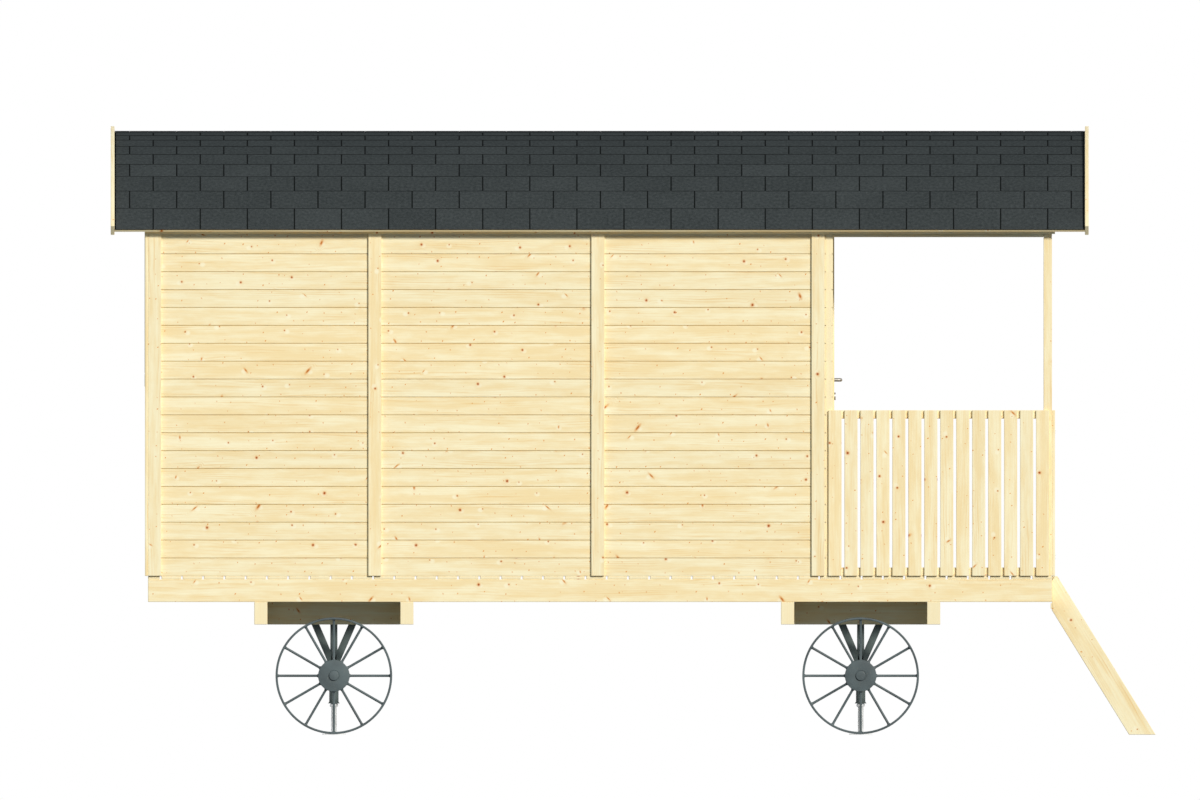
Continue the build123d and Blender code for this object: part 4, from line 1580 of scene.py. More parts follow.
@dataclass
class Roof:
    """Roof boards, felt shingles, bargeboards, ribs and eaves battens."""

    finishes: Finishes
    arch: Arch
    boards: int = 30
    board_v: float = 0.0022
    board_gap: float = 0.0003
    board_edge: float = 0.0004
    sheet_t: float = 0.0012
    sheet_steps: int = 60
    courses: int = 10
    tab_w: float = 0.25
    tab_t: float = 0.0042
    tab_fall: float = 0.0022
    tab_lift: float = 0.0006
    tab_seat: float = 0.0002
    tab_lap: float = 0.0008
    least_l: float = 0.012
    slot: float = 0.0068
    first_slot: float = 0.0273
    margin: float = 0.008
    lap: float = 0.002
    ridge_half: float = 0.062
    ridge_pitch: float = 0.143
    ridge_l: float = 0.16
    ridge_faces: Span = (0.003, 0.0057)
    ridge_bare: float = 0.04
    barge_w: float = 0.07
    barge_edge: float = 0.002
    barge_steps: int = 48
    rib_t: float = 0.045
    rib_edge: float = 0.003

    def build(self) -> None:
        """Builds the roof from the inside out."""
        self.board_layer()
        self.felt()
        self.bargeboards()
        self.ribs()
        box = Box.of("eaves_battens")
        stack = Stack(46)
        self.arch.eave_strips(stack, box.x, Box.of("side_battens").y[1], box.y[1], box.z[0])
        stack.piece("eaves_strips", self.finishes.deal, "eaves_battens")

    def board_layer(self) -> None:
        """Lengthwise boards side by side round the arch, with a V on the joints below."""
        x = Box.of("roof_boards").x
        stack = Stack(40)
        step = 2 * self.arch.half_angle / self.boards
        share = np.linspace(-step / 2, step / 2, 4)
        above, below = (
            radius * np.stack([np.sin(share), np.cos(share)], 1)
            for radius in (self.arch.boards, self.arch.under + self.board_gap)
        )
        lift = below[0] + [self.board_gap, self.board_v]
        drop = below[-1] + [-self.board_gap, self.board_v]
        for ring, draw in ((above, self.board_gap), (below, self.board_v)):
            ring[0, 0] += draw
            ring[-1, 0] -= draw
        outline = np.concatenate([below, [drop], above[::-1], [lift]])
        for i in range(self.boards):
            angle = -self.arch.half_angle + (i + 0.5) * step

            def seat(points: Array) -> Array:
                """Turns a board to its place round the arch.

                Args:
                    points: Rows of (across, up, x).

                Returns:
                    Rows of (x, y, z).
                """
                y = points[:, 0] * cos(angle) + points[:, 1] * sin(angle)
                z = -points[:, 0] * sin(angle) + points[:, 1] * cos(angle)
                return np.stack([points[:, 2], y, z + self.arch.axis], 1)

            stack.add(slab(outline, *x, self.board_edge), seat, Grain.Z)
        stack.piece("roof_lining", self.finishes.deal, "roof_boards")

    def tile(self, stack: Stack, x: Span, turn: Array, inner: Array, outer: Array) -> None:
        """A curved tile between two x, over a run of angles, with a radius for each face.

        Args:
            stack: Where it goes.
            x: Its two ends.
            turn: The angles along it.
            inner: The radius below it.
            outer: The radius above it.
        """
        corners = ((x[0], inner), (x[1], inner), (x[1], outer), (x[0], outer))
        rings = [np.stack(np.broadcast_arrays(at, turn, radius), 1) for at, radius in corners]
        stack.add(
            loft(np.stack(rings, 1)).outward(),
            lambda points: self.arch.rolled(points[:, 0], points[:, 2], points[:, 1]),
            flow=lambda points: points * [1, self.arch.outer, 1],
        )

    def felt(self) -> None:
        """A dark sheet, courses of tabs that each lap the one below, and the ridge over them."""
        x = Box.of("roof_shingles").x
        boards, half = self.arch.boards, self.arch.half_angle
        sheet, tabs = Stack(41), Stack(42)
        turn = np.linspace(-half, half, self.sheet_steps + 1)
        self.tile(sheet, x, turn, boards, boards + self.sheet_t)
        sheet.piece("roof_felt", self.finishes.bitumen)
        self.tabs(tabs, x)
        turn = np.linspace(-self.ridge_half, self.ridge_half, 7) / self.arch.outer
        under, over = (boards + face for face in self.ridge_faces)
        for i in range(int((x[1] - x[0]) / self.ridge_pitch) + 1):
            start = x[0] + i * self.ridge_pitch
            end = min(start + self.ridge_l, x[1])
            if end - start > self.least_l:
                self.tile(tabs, (start, end), turn, under, over)
        tabs.piece("shingle_tabs", self.finishes.felt, "roof_shingles")

    def tabs(self, stack: Stack, x: Span) -> None:
        """The tabs of every course, from the eaves up, their joints half a tab apart.

        Args:
            stack: Where they go.
            x: The roof's two ends.
        """
        boards, outer = self.arch.boards, self.arch.outer
        reach = outer * sin(self.arch.half_angle)
        edges = reach - (reach - self.ridge_bare) / self.courses * np.arange(self.courses + 1)
        for k in range(self.courses):
            start = Box.of("base_beams").x[0] + self.first_slot + (self.tab_w / 2 if k % 2 else 0.0)
            first = int(np.ceil((x[0] - start) / self.tab_w)) - 1
            last = int(np.floor((x[1] - start) / self.tab_w)) + 1
            foot = np.arcsin(edges[k] / outer)
            head = np.arcsin(max(edges[k + 1] - self.lap, 0.0) / outer)
            turn = np.linspace(foot, head, 5)
            share = (foot - turn) / (foot - head)
            over = boards + self.tab_t - self.tab_fall * share
            under = boards + self.tab_lap * (1 - share) + self.tab_seat
            for sign in SIGNS:
                for i in range(first, last + 1):
                    left = max(start + i * self.tab_w + self.slot / 2, x[0] + self.margin)
                    right = min(start + (i + 1) * self.tab_w - self.slot / 2, x[1] - self.margin)
                    if right - left >= self.least_l:
                        lift = stack.draw.uniform(0, self.tab_lift)
                        self.tile(stack, (left, right), sign * turn, under, over + lift)

    def bargeboards(self) -> None:
        """One curved board at each end, in two halves that meet at the crown."""
        half = self.arch.half_angle
        for seed, end in enumerate(End, 43):
            box = Box.of(named("bargeboard", end))
            inner = box.z[1] - self.arch.axis - self.barge_w
            middle = inner + self.barge_w / 2
            stack = Stack(seed, self.barge_edge)
            outline = rectangle(half * middle, self.barge_w, stack.edge, self.barge_steps)
            for start in (-half, 0.0):
                stack.add(
                    slab(outline, *box.x, stack.edge),
                    lambda points: self.arch.rolled(
                        points[:, 2], inner + points[:, 1], start + points[:, 0] / middle
                    ),
                )
            stack.piece(named("barge", end), self.finishes.deal, named("bargeboard", end))

    def ribs(self) -> None:
        """Two ribs inside the cabin, over the panel joints."""
        box = Box.of("roof_ribs")
        stack = Stack(45, self.rib_edge)
        for x in (box.x[0], box.x[1] - self.rib_t):
            self.arch.plate(stack, (x, x + self.rib_t), box.y[1])
        stack.piece("cabin_ribs", self.finishes.deal, "roof_ribs")


@dataclass
class Porch:
    """Posts, beams, arch, balustrades and the gate."""

    finishes: Finishes
    arch: Arch
    edge: float = 0.002
    arch_edge: float = 0.003
    post_w: float = 0.07
    rail_t: float = 0.045
    picket_w: float = 0.07
    picket_t: float = 0.016
    gate_gap: float = 0.005
    side_pickets: int = 14
    panel_pickets: int = 9
    gate_pickets: int = 10

    def build(self) -> None:
        """Builds the porch from its posts to its gate."""
        self.frame()
        for side in Side:
            self.balustrade(side)
        self.front()
        self.gate()

    def frame(self) -> None:
        """Posts, side beams cut to the roof, and the arch over the front."""
        posts, beams, arch = Box.of("porch_posts"), Box.of("porch_beams"), Box.of("porch_arch")
        stack = Stack(50, self.edge)
        for sign in SIGNS:
            y = (sign * posts.y[1], sign * (posts.y[1] - self.post_w))
            stack.timber(posts.x, y, posts.z, Grain.Z)
        stack.piece("corner_posts", self.finishes.deal, "porch_posts")
        stack = Stack(51, self.edge)
        self.arch.eave_strips(stack, beams.x, beams.y[1] - self.rail_t, beams.y[1], beams.z[0])
        stack.piece("side_plates", self.finishes.deal, "porch_beams")
        stack = Stack(52, self.arch_edge)
        self.arch.plate(stack, arch.x, arch.y[1], arch.z[0])
        stack.piece("front_arch", self.finishes.deal, "porch_arch")

    def rails(self, box: Box) -> tuple[Span, Span]:
        """The heights of a lower and an upper rail."""
        return (box.z[0], box.z[0] + self.rail_t), (box.z[1] - self.rail_t, box.z[1])

    def balustrade(self, side: Side) -> None:
        """Two rails with pickets on their outer face.

        Args:
            side: The balustrade's side.
        """
        node, sign = named("balustrade", side), side.value
        box = Box.of(node)
        back = box.far - self.picket_t
        between = (Box.of("wall_front_right").x[1], Box.of("porch_posts").x[0])
        stack = Stack(53 + (side is Side.LEFT), self.edge)
        for z in self.rails(box):
            stack.timber(between, (sign * (back - self.rail_t), sign * back), z, Grain.X)
        for x in np.linspace(box.x[0], box.x[1] - self.picket_w, self.side_pickets):
            stack.timber((x, x + self.picket_w), (sign * back, sign * box.far), box.z, Grain.Z)
        stack.piece(named("pickets", side), self.finishes.deal, node)

    def front(self) -> None:
        """Fixed panels beside the gate, with the gate posts."""
        box, gate = Box.of("front_panels"), Box.of("gate")
        face = box.x[1] - self.picket_t
        inner = gate.y[1] + self.gate_gap
        post = inner + self.rail_t
        corner = Box.of("porch_posts").y[1] - self.post_w
        pitch = (box.y[1] - gate.y[1]) / self.panel_pickets
        stack = Stack(55, self.edge)
        for sign in SIGNS:
            stack.timber((box.x[0], face), (sign * inner, sign * post), box.z, Grain.Z)
            for z in self.rails(box):
                stack.timber((box.x[0], face), (sign * post, sign * corner), z, Grain.Y)
            for i in range(self.panel_pickets):
                outer = box.y[1] - i * pitch
                y = (sign * outer, sign * (outer - self.picket_w))
                stack.timber((face, box.x[1]), y, box.z, Grain.Z)
        stack.piece("panel_pickets", self.finishes.deal, "front_panels")

    def gate(self) -> None:
        """The gate's two rails and its pickets."""
        box = Box.of("gate")
        face = box.x[1] - self.picket_t
        foot_rail = self.rails(Box.of("front_panels"))[0][1]
        stack = Stack(56, self.edge)
        for z in ((box.z[0], foot_rail), self.rails(box)[1]):
            stack.timber((box.x[0], face), box.y, z, Grain.Y)
        for y in np.linspace(box.y[0], box.y[1] - self.picket_w, self.gate_pickets):
            stack.timber((face, box.x[1]), (y, y + self.picket_w), box.z, Grain.Z)
        stack.piece("gate_boards", self.finishes.deal, "gate", "gate")


@dataclass
class Stair:
    """Two sloping stringers with three treads, the cleat they hang from and the ledger."""

    finishes: Finishes
    angle: float = radians(58.2)
    depth: float = 0.12
    thickness: float = 0.045
    edge: float = 0.002
    bevel: Span = (0.015, 0.023)
    treads: int = 3
    tread_w: float = 0.116
    tread_t: float = 0.028
    tread_edge: float = 0.003
    cleat: Span = (0.007, 0.03)
    cleat_edge: float = 0.001
    ledger_h: float = 0.045

    def build(self) -> None:
        """Builds the stringers, the treads and what the stair hangs from."""
        self.stringers()
        self.steps()
        self.fixings()

    def steps(self) -> None:
        """The treads, evenly spaced up the slope."""
        treads = Box.of("stair_treads")
        stack = Stack(61, self.tread_edge)
        back = np.linspace(treads.x[1] - self.tread_w, treads.x[0], self.treads)
        foot = np.linspace(treads.z[0], treads.z[1] - self.tread_t, self.treads)
        for x, z in zip(back, foot):
            stack.timber((x, x + self.tread_w), treads.y, (z, z + self.tread_t), Grain.Y)
        stack.piece("tread_boards", self.finishes.deal, "stair_treads")

    def fixings(self) -> None:
        """The cleat on the base under the deck, and the ledger between the stringers."""
        box, reach = Box.of("stair_cleat"), Box.of("stair_treads").y[1]
        stack = Stack(62, self.cleat_edge)
        split = box.x[0] + self.cleat[0]
        stack.timber((box.x[0], split), box.y, (box.z[0], box.z[0] + self.cleat[1]), Grain.Y)
        stack.timber((split, box.x[1]), (-reach, reach), (box.z[1] - self.ledger_h, box.z[1]), Grain.Y)
        stack.piece("hanging_cleat", self.finishes.deal, "stair_cleat")

    def stringers(self) -> None:
        """Two boards cut level at the ground and upright at the base, their top corner cut back."""
        box, slope = Box.of("stair_stringers"), tan(self.angle)
        (back, front), top = box.x, box.z[1]
        foot = front - self.depth / sin(self.angle)
        outline = [
            [back, (foot - back) * slope], [foot, 0], [front, 0], [front - top / slope, top],
            [back + self.bevel[0], top], [back, top - self.bevel[1]],
        ]

        def flow(points: Array) -> Array:
            """Along the slope, across it, and through the stringer.

            Args:
                points: Rows of (x, z, depth).

            Returns:
                Rows along the grain.
            """
            along = points[:, 0] * cos(self.angle) - points[:, 1] * sin(self.angle)
            across = points[:, 0] * sin(self.angle) + points[:, 1] * cos(self.angle)
            return np.stack([along, across, points[:, 2]], 1)

        stack = Stack(60, self.edge)
        for y in (box.y[0], box.y[1] - self.thickness):
            stack.add(slab(outline, -y - self.thickness, -y, self.edge), lengthwise, flow=flow)
        stack.piece("stringer_boards", self.finishes.deal, "stair_stringers")


@dataclass(frozen=True)
class Station:
    """The place of one wheel."""

    end: End
    side: Side

    def name(self, stem: str) -> str:
        """The name of a node or a piece here."""
        return named(stem, self.end, self.side)

    def box(self, stem: str) -> Box:
        """The box of a node here."""
        return Box.of(self.name(stem))

    @property
    def centre(self) -> Array:
        """The wheel's centre."""
        return self.box("wheel").centre

    @property
    def out(self) -> Vector:
        """The direction out of the hut."""
        return (0, self.side.value, 0)


@dataclass
class RunningGear:
    """Enamelled wheels on their stands, and the levelling screws under them."""

    finishes: Finishes
    rim_t: float = 0.012
    rim_round: float = 0.0025
    spoke_r: float = 0.0066
    spokes: int = 12
    cap_r: float = 0.025
    cap_h: float = 0.008
    cap_t: float = 0.006
    cap_core: float = 0.0004
    cap_rim: Span = (0.004, 0.0015)
    drum_w: float = 0.036
    drum_round: float = 0.0022
    boss_r: float = 0.035
    axle_r: float = 0.0125
    axle_gap: float = 0.0002
    tube_w: float = 0.038
    tube_round: float = 0.005
    tube_lap: float = 0.003
    brace_angle: float = radians(23.4)
    brace_rise: float = 0.046
    plate_t: float = 0.006
    plate_round: float = 0.006
    plate_edge: float = 0.0008
    bolts_along: tuple[float, ...] = (-0.88, -0.32, 0.32, 0.88)
    bolts_up: Span = (-0.27, 0.27)
    washer_w: float = 0.022
    washer_t: float = 0.002
    bolt_nut: Span = (0.016, 0.007)
    bead_r: float = 0.0028
    bead_ripple: float = 0.004
    sleeve_r: float = 0.025
    sleeve_top: float = 0.013
    flare: Span = (0.031, 0.009)
    collar: Span = (0.024, 0.008)
    collar_gap: float = 0.0003
    screw_r: float = 0.015
    thread_depth: float = 0.0009
    pitch: float = 0.0035
    foot_w: float = 0.122
    foot_t: float = 0.006
    lock_nut: Span = (0.038, 0.018)
    smooth: float = 40

    def build(self) -> None:
        """Builds four wheels with their hubs, then the stands and the screws."""
        stands, screws = Stack(78), Stack(79)
        places = [Station(end, side) for end in End for side in (Side.LEFT, Side.RIGHT)]
        for i, at in enumerate(places):
            self.wheel(at, 70 + 2 * i)
            self.hub(at, 71 + 2 * i)
            self.tubes(stands, at)
            self.sleeve(stands, at)
            self.plate(stands, at)
            self.axle(stands, at)
            self.screw(screws, at)
        stands.piece("stand_frames", self.finishes.stand, "stands")
        screws.piece("levelling_screws", self.finishes.zinc, "jacks")

    def wheel(self, at: Station, seed: int) -> None:
        """A flat rim with eased edges, and rods welded between it and the drum.

        Args:
            at: The wheel's place.
            seed: Its random seed.
        """
        box, hub = at.box("wheel"), at.box("hub")
        radius, drum_r = (box.z[1] - box.z[0]) / 2, (hub.z[1] - hub.z[0]) / 2
        inner, r = radius - self.rim_t, self.spoke_r
        section = rounded(self.rim_t, box.y[1] - box.y[0], self.rim_round, 3) + [radius - self.rim_t / 2, 0]
        stack = Stack(seed)
        stack.add(lathe(section, 120, closed=True), seated(at.out, at.centre))
        drum_weld = ((1.55, -0.002), (1.45, 0.001), (1.12, 0.004), (1, 0.008))
        rim_weld = ((1, -0.007), (1.12, -0.004), (1.4, -0.001), (1.5, 0.002))
        rod = [[r * swell, drum_r + rise] for swell, rise in drum_weld]
        rod += [[r * swell, inner + rise] for swell, rise in rim_weld]
        for angle in full_turn(self.spokes):
            stack.add(lathe(rod, 16), seated((cos(angle), 0, sin(angle)), at.centre))
        node = at.name("wheel")
        stack.piece(at.name("rim"), self.finishes.wheel, node, node, self.smooth)

    def hub(self, at: Station, seed: int) -> None:
        """A turned drum with its cap outside, and a boss bored for the axle inside.

        Args:
            at: The wheel's place.
            seed: Its random seed.
        """
        box, half = at.box("hub"), self.drum_w / 2
        drum_r = (box.z[1] - box.z[0]) / 2
        cap = half + self.cap_h
        boss = cap - (box.y[1] - box.y[0])
        bore = self.axle_r + self.axle_gap
        rim_r, rim_h = self.cap_r + self.cap_rim[0], half - self.cap_rim[1]
        outside = [
            [bore, boss], [self.boss_r, boss], [self.boss_r, -half], [drum_r, -half], [drum_r, half],
            [rim_r, half], [rim_r, rim_h], [self.cap_r, rim_h], [self.cap_r, cap], [self.cap_core, cap],
        ]
        inside = [[self.cap_core, cap - self.cap_t], [bore, cap - self.cap_t]]
        profile = np.concatenate([inside, eased(outside, self.drum_round, 3)])
        stack = Stack(seed)
        stack.add(lathe(profile, 72), seated(at.out, at.centre))
        stack.piece(at.name("hub_drum"), self.finishes.wheel, at.name("hub"), at.name("wheel"), self.smooth)

    @property
    def tube_y(self) -> float:
        """How far the stands' tubes are from the hut's middle."""
        return Box.of("jacks").y[1] - self.foot_w / 2

    def upright(self, at: Station) -> Bend:
        """Seats what stands on a tube's axis."""
        return seated((0, 0, 1), [at.centre[0], at.side.value * self.tube_y, 0])

    def meet(self, at: Station) -> float:
        """The height at which a stand's braces meet."""
        return at.centre[2] + self.brace_rise

    def tubes(self, stack: Stack, at: Station) -> None:
        """An upright tube, and two braces that lean away from it.

        Args:
            stack: Where they go.
            at: The wheel's place.
        """
        top, meet = Box.of("stands").z[1], self.meet(at)
        square = rounded(self.tube_w, self.tube_w, self.tube_round, 3)
        foot = at.centre[2] - self.sleeve_top - self.tube_lap
        stack.add(tiers(square, [(foot, 0), (top, 0)]), self.upright(at))
        levels = np.linspace(meet, top, 5)[:, None]
        for lean in SIGNS:
            run = square[:, 0] / cos(self.brace_angle) + lean * (levels - meet) * tan(self.brace_angle)
            rings = np.stack(np.broadcast_arrays(run, square[:, 1], levels), 2)
            stack.add(loft(rings), self.upright(at))

    def sleeve(self, stack: Stack, at: Station) -> None:
        """The flared sleeve that the screw runs in, welded under the tube.

        Args:
            stack: Where it goes.
            at: The wheel's place.
        """
        foot, top = Box.of("stands").z[0], at.centre[2] - self.sleeve_top
        flare_r, flare_h = self.flare
        profile = [
            [self.screw_r, foot], [flare_r, foot], [flare_r - 0.0005, foot + 0.002],
            [self.sleeve_r, foot + flare_h], [self.sleeve_r, top - 0.002], [self.sleeve_r - 0.002, top],
            [self.tube_w / 2, top + 0.001],
        ]
        stack.add(lathe(profile, 48), self.upright(at))

    def plate(self, stack: Stack, at: Station) -> None:
        """The mounting plate, bolted to the rail behind it and welded to the tubes.

        Args:
            stack: Where it goes.
            at: The wheel's place.
        """
        stands, foot, sign = Box.of("stands"), Box.of("axle_beams").z[0], at.side.value
        half, tall = stands.x[1] - Station(End.FRONT, at.side).centre[0], stands.z[1] - foot
        middle = np.array([at.centre[0], sign * (self.tube_y + self.tube_w / 2), foot + tall / 2])
        outline = rounded(2 * half, tall, self.plate_round)
        stack.add(slab(outline, 0, self.plate_t, self.plate_edge), seated(at.out, middle))
        washer = rounded(self.washer_w, self.washer_w, self.washer_w / 2 - 0.0001, 6)
        across, high = self.bolt_nut
        for x in self.bolts_along:
            for z in self.bolts_up:
                inwards = seated((0, -sign, 0), middle + [x * half, 0, z * tall])
                stack.add(slab(washer, 0, self.washer_t, 0.0004), inwards)
                stack.add(nut(across, self.washer_t, self.washer_t + high), inwards)
        for lean in (-1, 0, 1):
            shift = lean * (foot - self.meet(at)) * tan(self.brace_angle)
            reach = self.tube_w / 2 / (cos(self.brace_angle) if lean else 1)
            self.bead(stack, middle + [shift, 0.001 * sign, -tall / 2], reach)

    def bead(self, stack: Stack, middle: Array, reach: float) -> None:
        """A weld along X: its radius swells by a fifth in each ripple.

        Args:
            stack: Where it goes.
            middle: The weld's middle.
            reach: Half its length.
        """
        run = np.linspace(-reach, reach, 40)
        path = middle + run[:, None] * [1, 0, 0]
        radius = self.bead_r * (1 + 0.2 * np.sin(run * 2 * pi / self.bead_ripple))
        stack.add(tube(path, radius, (0, 0, 1), 8))

    def axle(self, stack: Stack, at: Station) -> None:
        """The stub axle with its weld, and the collar behind the hub.

        Args:
            stack: Where it goes.
            at: The wheel's place.
        """
        face, end = self.tube_y + self.tube_w / 2, Box.of("stands").y[1]
        back, r = at.box("hub").near - self.collar_gap, self.axle_r
        collar_r, collar_w = self.collar
        profile = [
            [r * 1.5, face - 0.001], [r * 1.35, face + 0.003], [r, face + 0.006], [r, back - collar_w],
            [collar_r, back - collar_w], [collar_r, back], [r, back], [r, end - 0.001], [r - 0.001, end],
        ]
        stack.add(lathe(profile, 40), seated(at.out, at.centre * [1, 0, 1]))

    def screw(self, stack: Stack, at: Station) -> None:
        """A threaded rod standing on a square foot, with its lock nut under the sleeve.

        Args:
            stack: Where it goes.
            at: The wheel's place.
        """
        up, foot = self.upright(at), self.foot_t
        outline = rounded(self.foot_w, self.foot_w, self.plate_round)
        stack.add(slab(outline, 0, foot, self.plate_edge), up)
        weld = [[0.0185, foot - 0.001], [0.018, foot + 0.0015], [0.0145, foot + 0.004]]
        stack.add(lathe(weld, 32), up)
        rod = thread(self.screw_r, self.thread_depth, self.pitch, foot, Box.of("jacks").z[1])
        stack.add(rod, up)
        across, tall = self.lock_nut
        sleeve = Box.of("stands").z[0]
        stack.add(nut(across, sleeve - tall, sleeve), up)


@dataclass(frozen=True)
class HalfHinge:
    """One half of a hinge: a plate across X, flush with the knuckle on the hinge's axis.

    The neck is where the plate gets its full height, and the reach is where it ends,
    both from the axis; tall is half its height.
    """

    radius: float
    thick: float
    neck: float
    reach: float
    tall: float
    gap: float = 0.0025
    edge: float = 0.0003
    corner: float = 0.0015
    knuckle_round: float = 0.0008

    def add(self, stack: Stack, axis: Array, turn: int) -> None:
        """Adds the plate and its knuckle, and the pin with the lower one.

        Args:
            stack: Where it goes.
            axis: Middle of the hinge's axis.
            turn: 1 for the half at +Y, with the lower knuckle, or -1.
        """
        tall, gap, r = self.tall, self.gap, self.radius
        right, neck = self.reach, self.neck
        outline = [[0, -tall], [right, -tall], [right, tall], [neck, tall], [neck, -gap], [0, -gap]]
        plate = slab(eased_outline(outline, self.corner, 2), r - self.thick, r, self.edge)
        profile = [[CORE, -tall], [r, -tall], [r, -gap], [CORE, -gap]]
        knuckle = lathe(eased(profile, self.knuckle_round, 2), 32)
        flip = np.array([1, turn, turn])
        stack.add(plate, lambda points: axis + crosswise(points) * flip)
        stack.add(knuckle, lambda points: axis + points * flip)
        if turn > 0:
            pin = [[r * 0.5, -tall], [r * 0.5, tall - 0.001], [r * 0.4, tall]]
            stack.add(lathe(pin, 24), lambda points: points + axis)


@dataclass
class Fittings:
    """Hinges of the door and the gate, the lever with its roses, the lock and the glass."""

    finishes: Finishes
    hinge_tall: float = 0.045
    hinge_t: float = 0.0025
    hinge_rows: tuple[Span, ...] = ((-0.032, 0.018), (0.0, 0.023), (0.032, 0.018))
    hinge_screw: float = 0.0034
    strap_tall: float = 0.0225
    strap_t: float = 0.002
    strap_bolt: float = 0.0055
    strap_ends: Span = (0.014, 0.016)
    lever_r: float = 0.0093
    lever_bend: float = 0.016
    lever_round: float = 0.0025
    rose: Span = (0.026, 0.008)
    rose_round: float = 0.0022
    lock_r: float = 0.02
    lock_rim: float = 0.0012
    smooth: float = 40

    def build(self) -> None:
        """Builds what is fixed to the door and the gate, and dresses the glass."""
        self.door_hinges()
        self.gate_hinges()
        self.lever()
        self.lock()
        for node in ("window_glass", "door_glass"):
            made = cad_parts[node]
            made.data.materials.clear()
            made.data.materials.append(self.finishes.glass.material)

    @staticmethod
    def screw_head(stack: Stack, spot: Array, out: int, radius: float) -> None:
        """A low domed head with a square drive, facing along X.

        Args:
            stack: Where it goes.
            spot: Middle of its seat.
            out: The way it faces.
            radius: Its radius.
        """
        facing = seated((out, 0, 0), spot)
        dome = radius * np.array([[1, 0], [0.96, 0.125], [0.7, 0.31], [0.42, 0.36]])
        stack.add(lathe(dome, 20), facing)
        drive = rounded(radius * 0.5, radius * 0.5, radius * 0.05, 1)
        stack.add(tiers(drive, [(0, 0), (radius * 0.38, 0)]), facing)

    def door_hinges(self) -> None:
        """Three butt hinges inside the doorway: one half on the frame and one on the leaf."""
        fixed, moving = Box.of("door_hinges_fixed"), Box.of("door_hinges_moving")
        y = (fixed.y[1] + moving.y[0]) / 2
        face, radius, tall = fixed.x[1], y - fixed.y[0], self.hinge_tall
        hinge = HalfHinge(radius, self.hinge_t, radius + 0.001, fixed.y[1] - y, tall)
        for turn, name, body, node in (
            (1, "frame_hinges", "hut", "door_hinges_fixed"),
            (-1, "leaf_hinges", "door", "door_hinges_moving"),
        ):
            stack = Stack(90 + turn)
            for z in np.linspace(fixed.z[0] + tall, fixed.z[1] - tall, 3):
                hinge.add(stack, np.array([face - radius, y, z]), turn)
                for row, shift in self.hinge_rows:
                    spot = np.array([face - self.hinge_t, y + turn * shift, z + row])
                    self.screw_head(stack, spot, -1, self.hinge_screw)
            stack.piece(name, self.finishes.zinc, node, body, self.smooth)

    def gate_hinges(self) -> None:
        """Two strap hinges on the gate's face, with coach bolts."""
        fixed, moving = Box.of("gate_hinges_fixed"), Box.of("gate_hinges_moving")
        y = (fixed.y[0] + moving.y[1]) / 2
        face, radius, tall = fixed.x[1], y - fixed.y[0], self.strap_tall
        neck = y - Box.of("gate").y[1]
        for turn, name, body, node, reach, bolts in (
            (1, "post_hinges", "hut", "gate_hinges_fixed", fixed.y[1] - y, 2),
            (-1, "gate_straps", "gate", "gate_hinges_moving", y - moving.y[0], 4),
        ):
            stack = Stack(94 + turn)
            hinge = HalfHinge(radius, self.strap_t, neck, reach, tall)
            start, end = self.strap_ends
            for z in (fixed.z[0] + tall, fixed.z[1] - tall):
                hinge.add(stack, np.array([face - radius, y, z]), turn)
                for shift in np.linspace(neck + start, reach - end, bolts):
                    self.screw_head(stack, np.array([face, y + turn * shift, z]), 1, self.strap_bolt)
            stack.piece(name, self.finishes.zinc, node, body, self.smooth)

    def lever(self) -> None:
        """A round bar bent to a lever at each end of its spindle."""
        box, r = Box.of("door_lever"), self.lever_r
        back, front = box.x[0] + r, box.x[1] - r
        start, tip, level = box.y[0] + r, box.y[1], box.centre[2]
        bends = [(back, tip - 0.003), (back, start), (front, start), (front, tip - 0.003)]
        path = eased([(x, y, level) for x, y in bends], self.lever_bend, 8)
        path = np.concatenate([[(back, tip, level)], path, [(front, tip, level)]])
        radius = np.full(len(path), r)
        radius[[0, -1]] -= self.lever_round
        stack = Stack(96)
        stack.add(tube(path, radius, (0, 0, 1), 32))
        stack.piece("lever_handle", self.finishes.steel, "door_lever", "lever", 50)

    def lock(self) -> None:
        """Round roses on both faces of the leaf, and the lock's cylinder below."""
        box, (back, face) = Box.of("door_roses"), Box.of("door_leaf").x
        y, level = box.centre[1], Box.of("door_lever").centre[2]
        rose_r, rose_t = self.rose
        stack = Stack(97)
        disc = eased([[CORE, 0], [rose_r, 0], [rose_r, rose_t], [CORE, rose_t]], self.rose_round, 3)
        for out, x in ((1, face), (-1, back)):
            stack.add(lathe(disc, 56), seated((out, 0, 0), [x, y, level]))
        r, tall = self.lock_r, box.x[1] - face
        rim, key, sunk = r * 0.82, r * 0.5, tall - self.lock_rim
        barrel = [
            [CORE, 0], [r, 0], [r, tall], [rim, tall],
            [rim, sunk], [key, sunk], [key, tall], [CORE, tall],
        ]
        shape = lathe(eased(barrel, 0.0009, 2), 48)
        stack.add(shape, seated((1, 0, 0), [face, y, box.z[0] + r]))
        stack.piece("roses_and_lock", self.finishes.steel, "door_roses", "door", self.smooth)


# ---- Setting ----


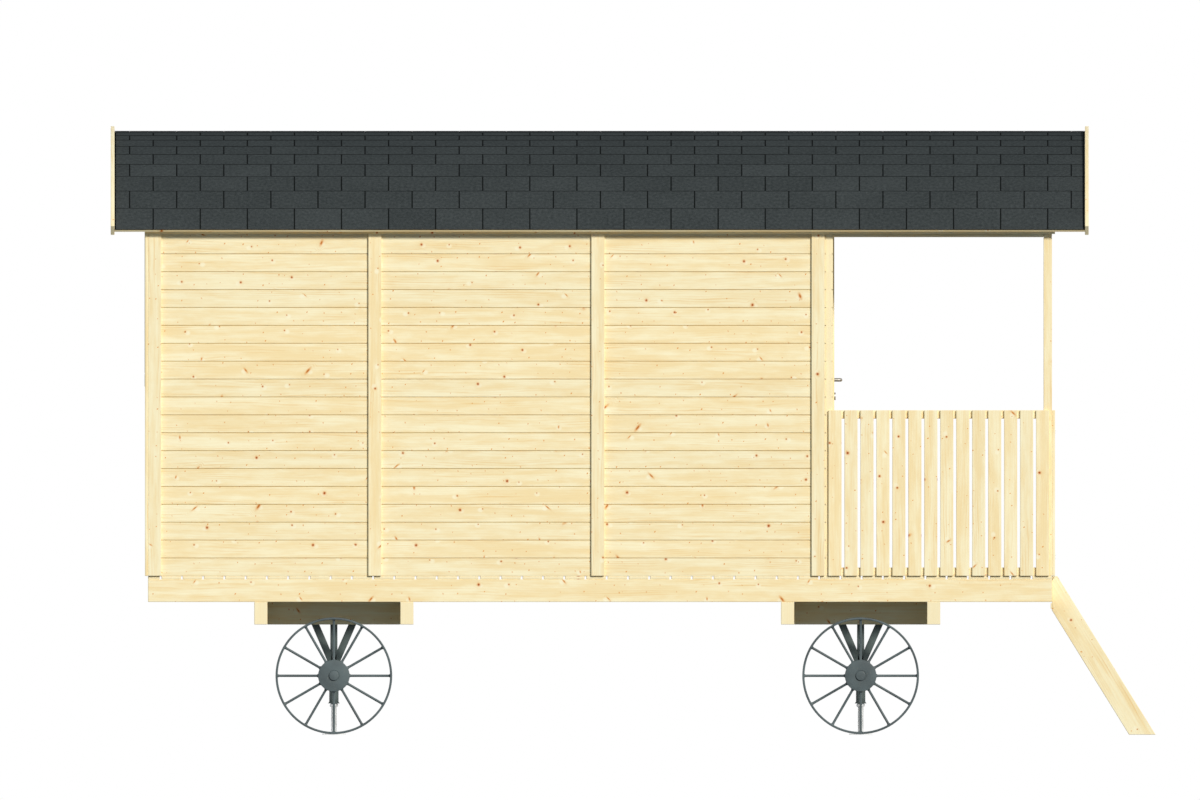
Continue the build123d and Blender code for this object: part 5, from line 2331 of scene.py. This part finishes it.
@dataclass
class Studio:
    """The camera, the lights, the world and a plain pale floor."""

    picture_w: float = 6.372
    level: float = 1.7773
    away: float = 14.0
    clip_end: float = 60.0
    sun: float = 3.17
    sunlight: Vector = (1.0, 0.965, 0.885)
    fill: float = 1.5
    sky: tuple[float, float, float, float] = (0.25, 0.30, 0.355, 1)
    floor_r: float = 45.0
    floor_z: float = -0.0006
    floor_points: int = 96

    def build(self) -> None:
        """Sets the stage."""
        scene = bpy.context.scene
        camera = bpy.data.cameras.new("side_view")
        camera.type = "ORTHO"
        camera.ortho_scale = self.picture_w
        camera.clip_end = self.clip_end
        view = bpy.data.objects.new("side_view", camera)
        view.location = (Box.of("base_beams").centre[0], -self.away, self.level)
        view.rotation_euler = (pi / 2, 0, 0)
        scene.collection.objects.link(view)
        scene.camera = view
        self.lamp("sun", (0.54, -1.0, 0.54), self.sun, 9, self.sunlight)
        self.lamp("fill", (-0.6, 1.0, 0.22), self.fill, 60, (1.0, 1.0, 1.0))
        self.world()
        self.floor()
        scene.view_settings.view_transform = "Standard"

    @staticmethod
    def lamp(name: str, towards: Vector, power: float, spread: float, colour: Vector) -> None:
        """A sun lamp.

        Args:
            name: Its name.
            towards: Points from the hut to the lamp.
            power: Its strength.
            spread: Its width in the sky, in degrees.
            colour: Its light.
        """
        lamp = bpy.data.lights.new(name, "SUN")
        lamp.energy = power
        lamp.color = colour
        lamp.angle = radians(spread)
        made = bpy.data.objects.new(name, lamp)
        x, y, z = towards
        made.rotation_euler = (0, atan2(hypot(x, y), z), atan2(y, x))
        bpy.context.scene.collection.objects.link(made)

    @staticmethod
    def background_rays(graph: Graph) -> Value:
        """1 for the rays that show the background itself: the camera's, a mirror's and clear glass's.

        Args:
            graph: The graph that asks.

        Returns:
            The mask.
        """
        rays = graph.node("ShaderNodeLightPath")
        seen = Value(graph, rays.outputs["Is Camera Ray"])
        for kind in ("Is Glossy Ray", "Is Transmission Ray"):
            seen = graph.maths("MAXIMUM", seen, Value(graph, rays.outputs[kind]))
        return seen

    def world(self) -> None:
        """A plain sky, white where it is the background."""
        world = bpy.data.worlds.new("studio")
        world.use_nodes = True
        bpy.context.scene.world = world
        graph = Graph(world.node_tree)
        colour = graph.mix(self.background_rays(graph), self.sky, (1, 1, 1, 1))
        graph.feed(world.node_tree.nodes["Background"].inputs["Color"], colour)

    def floor(self) -> None:
        """A pale round floor just under the feet, which throws less light back than it shows."""
        graph = Graph.of_material("studio_floor")
        cloud = graph.noise(graph.place(), (0.6, 0.6, 0.6), 3)
        pale = graph.mix(cloud, (245, 245, 244), (250, 250, 249))
        tint = graph.mix(self.background_rays(graph), (88, 98, 106), pale)
        mesh = bpy.data.meshes.new("floor")
        disc = circle(self.floor_r, full_turn(self.floor_points), self.floor_z)
        mesh.from_pydata(disc.tolist(), [], [list(range(self.floor_points))])
        mesh.materials.append(graph.finish(Base_Color=tint, Roughness=0.9))
        made = bpy.data.objects.new("floor", mesh)
        bpy.context.scene.collection.objects.link(made)


def main() -> None:
    """Builds the setting and every part of the hut, and notes its size."""
    logging.basicConfig(level=logging.INFO, format="%(name)s %(message)s")
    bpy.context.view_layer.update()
    Studio().build()
    finishes = Finishes()
    arch = Arch.from_frame()
    log.info("arch axis %.4f, radius %.4f, half angle %.2f", arch.axis, arch.outer, degrees(arch.half_angle))
    for part in (
        Base(finishes),
        Cabin(finishes, arch, Boarding()),
        Door(finishes),
        Roof(finishes, arch),
        Porch(finishes, arch),
        Stair(finishes),
        RunningGear(finishes),
        Fittings(finishes),
    ):
        part.build()
        log.info("%s built", type(part).__name__)


if __name__ == "__main__":
    main()
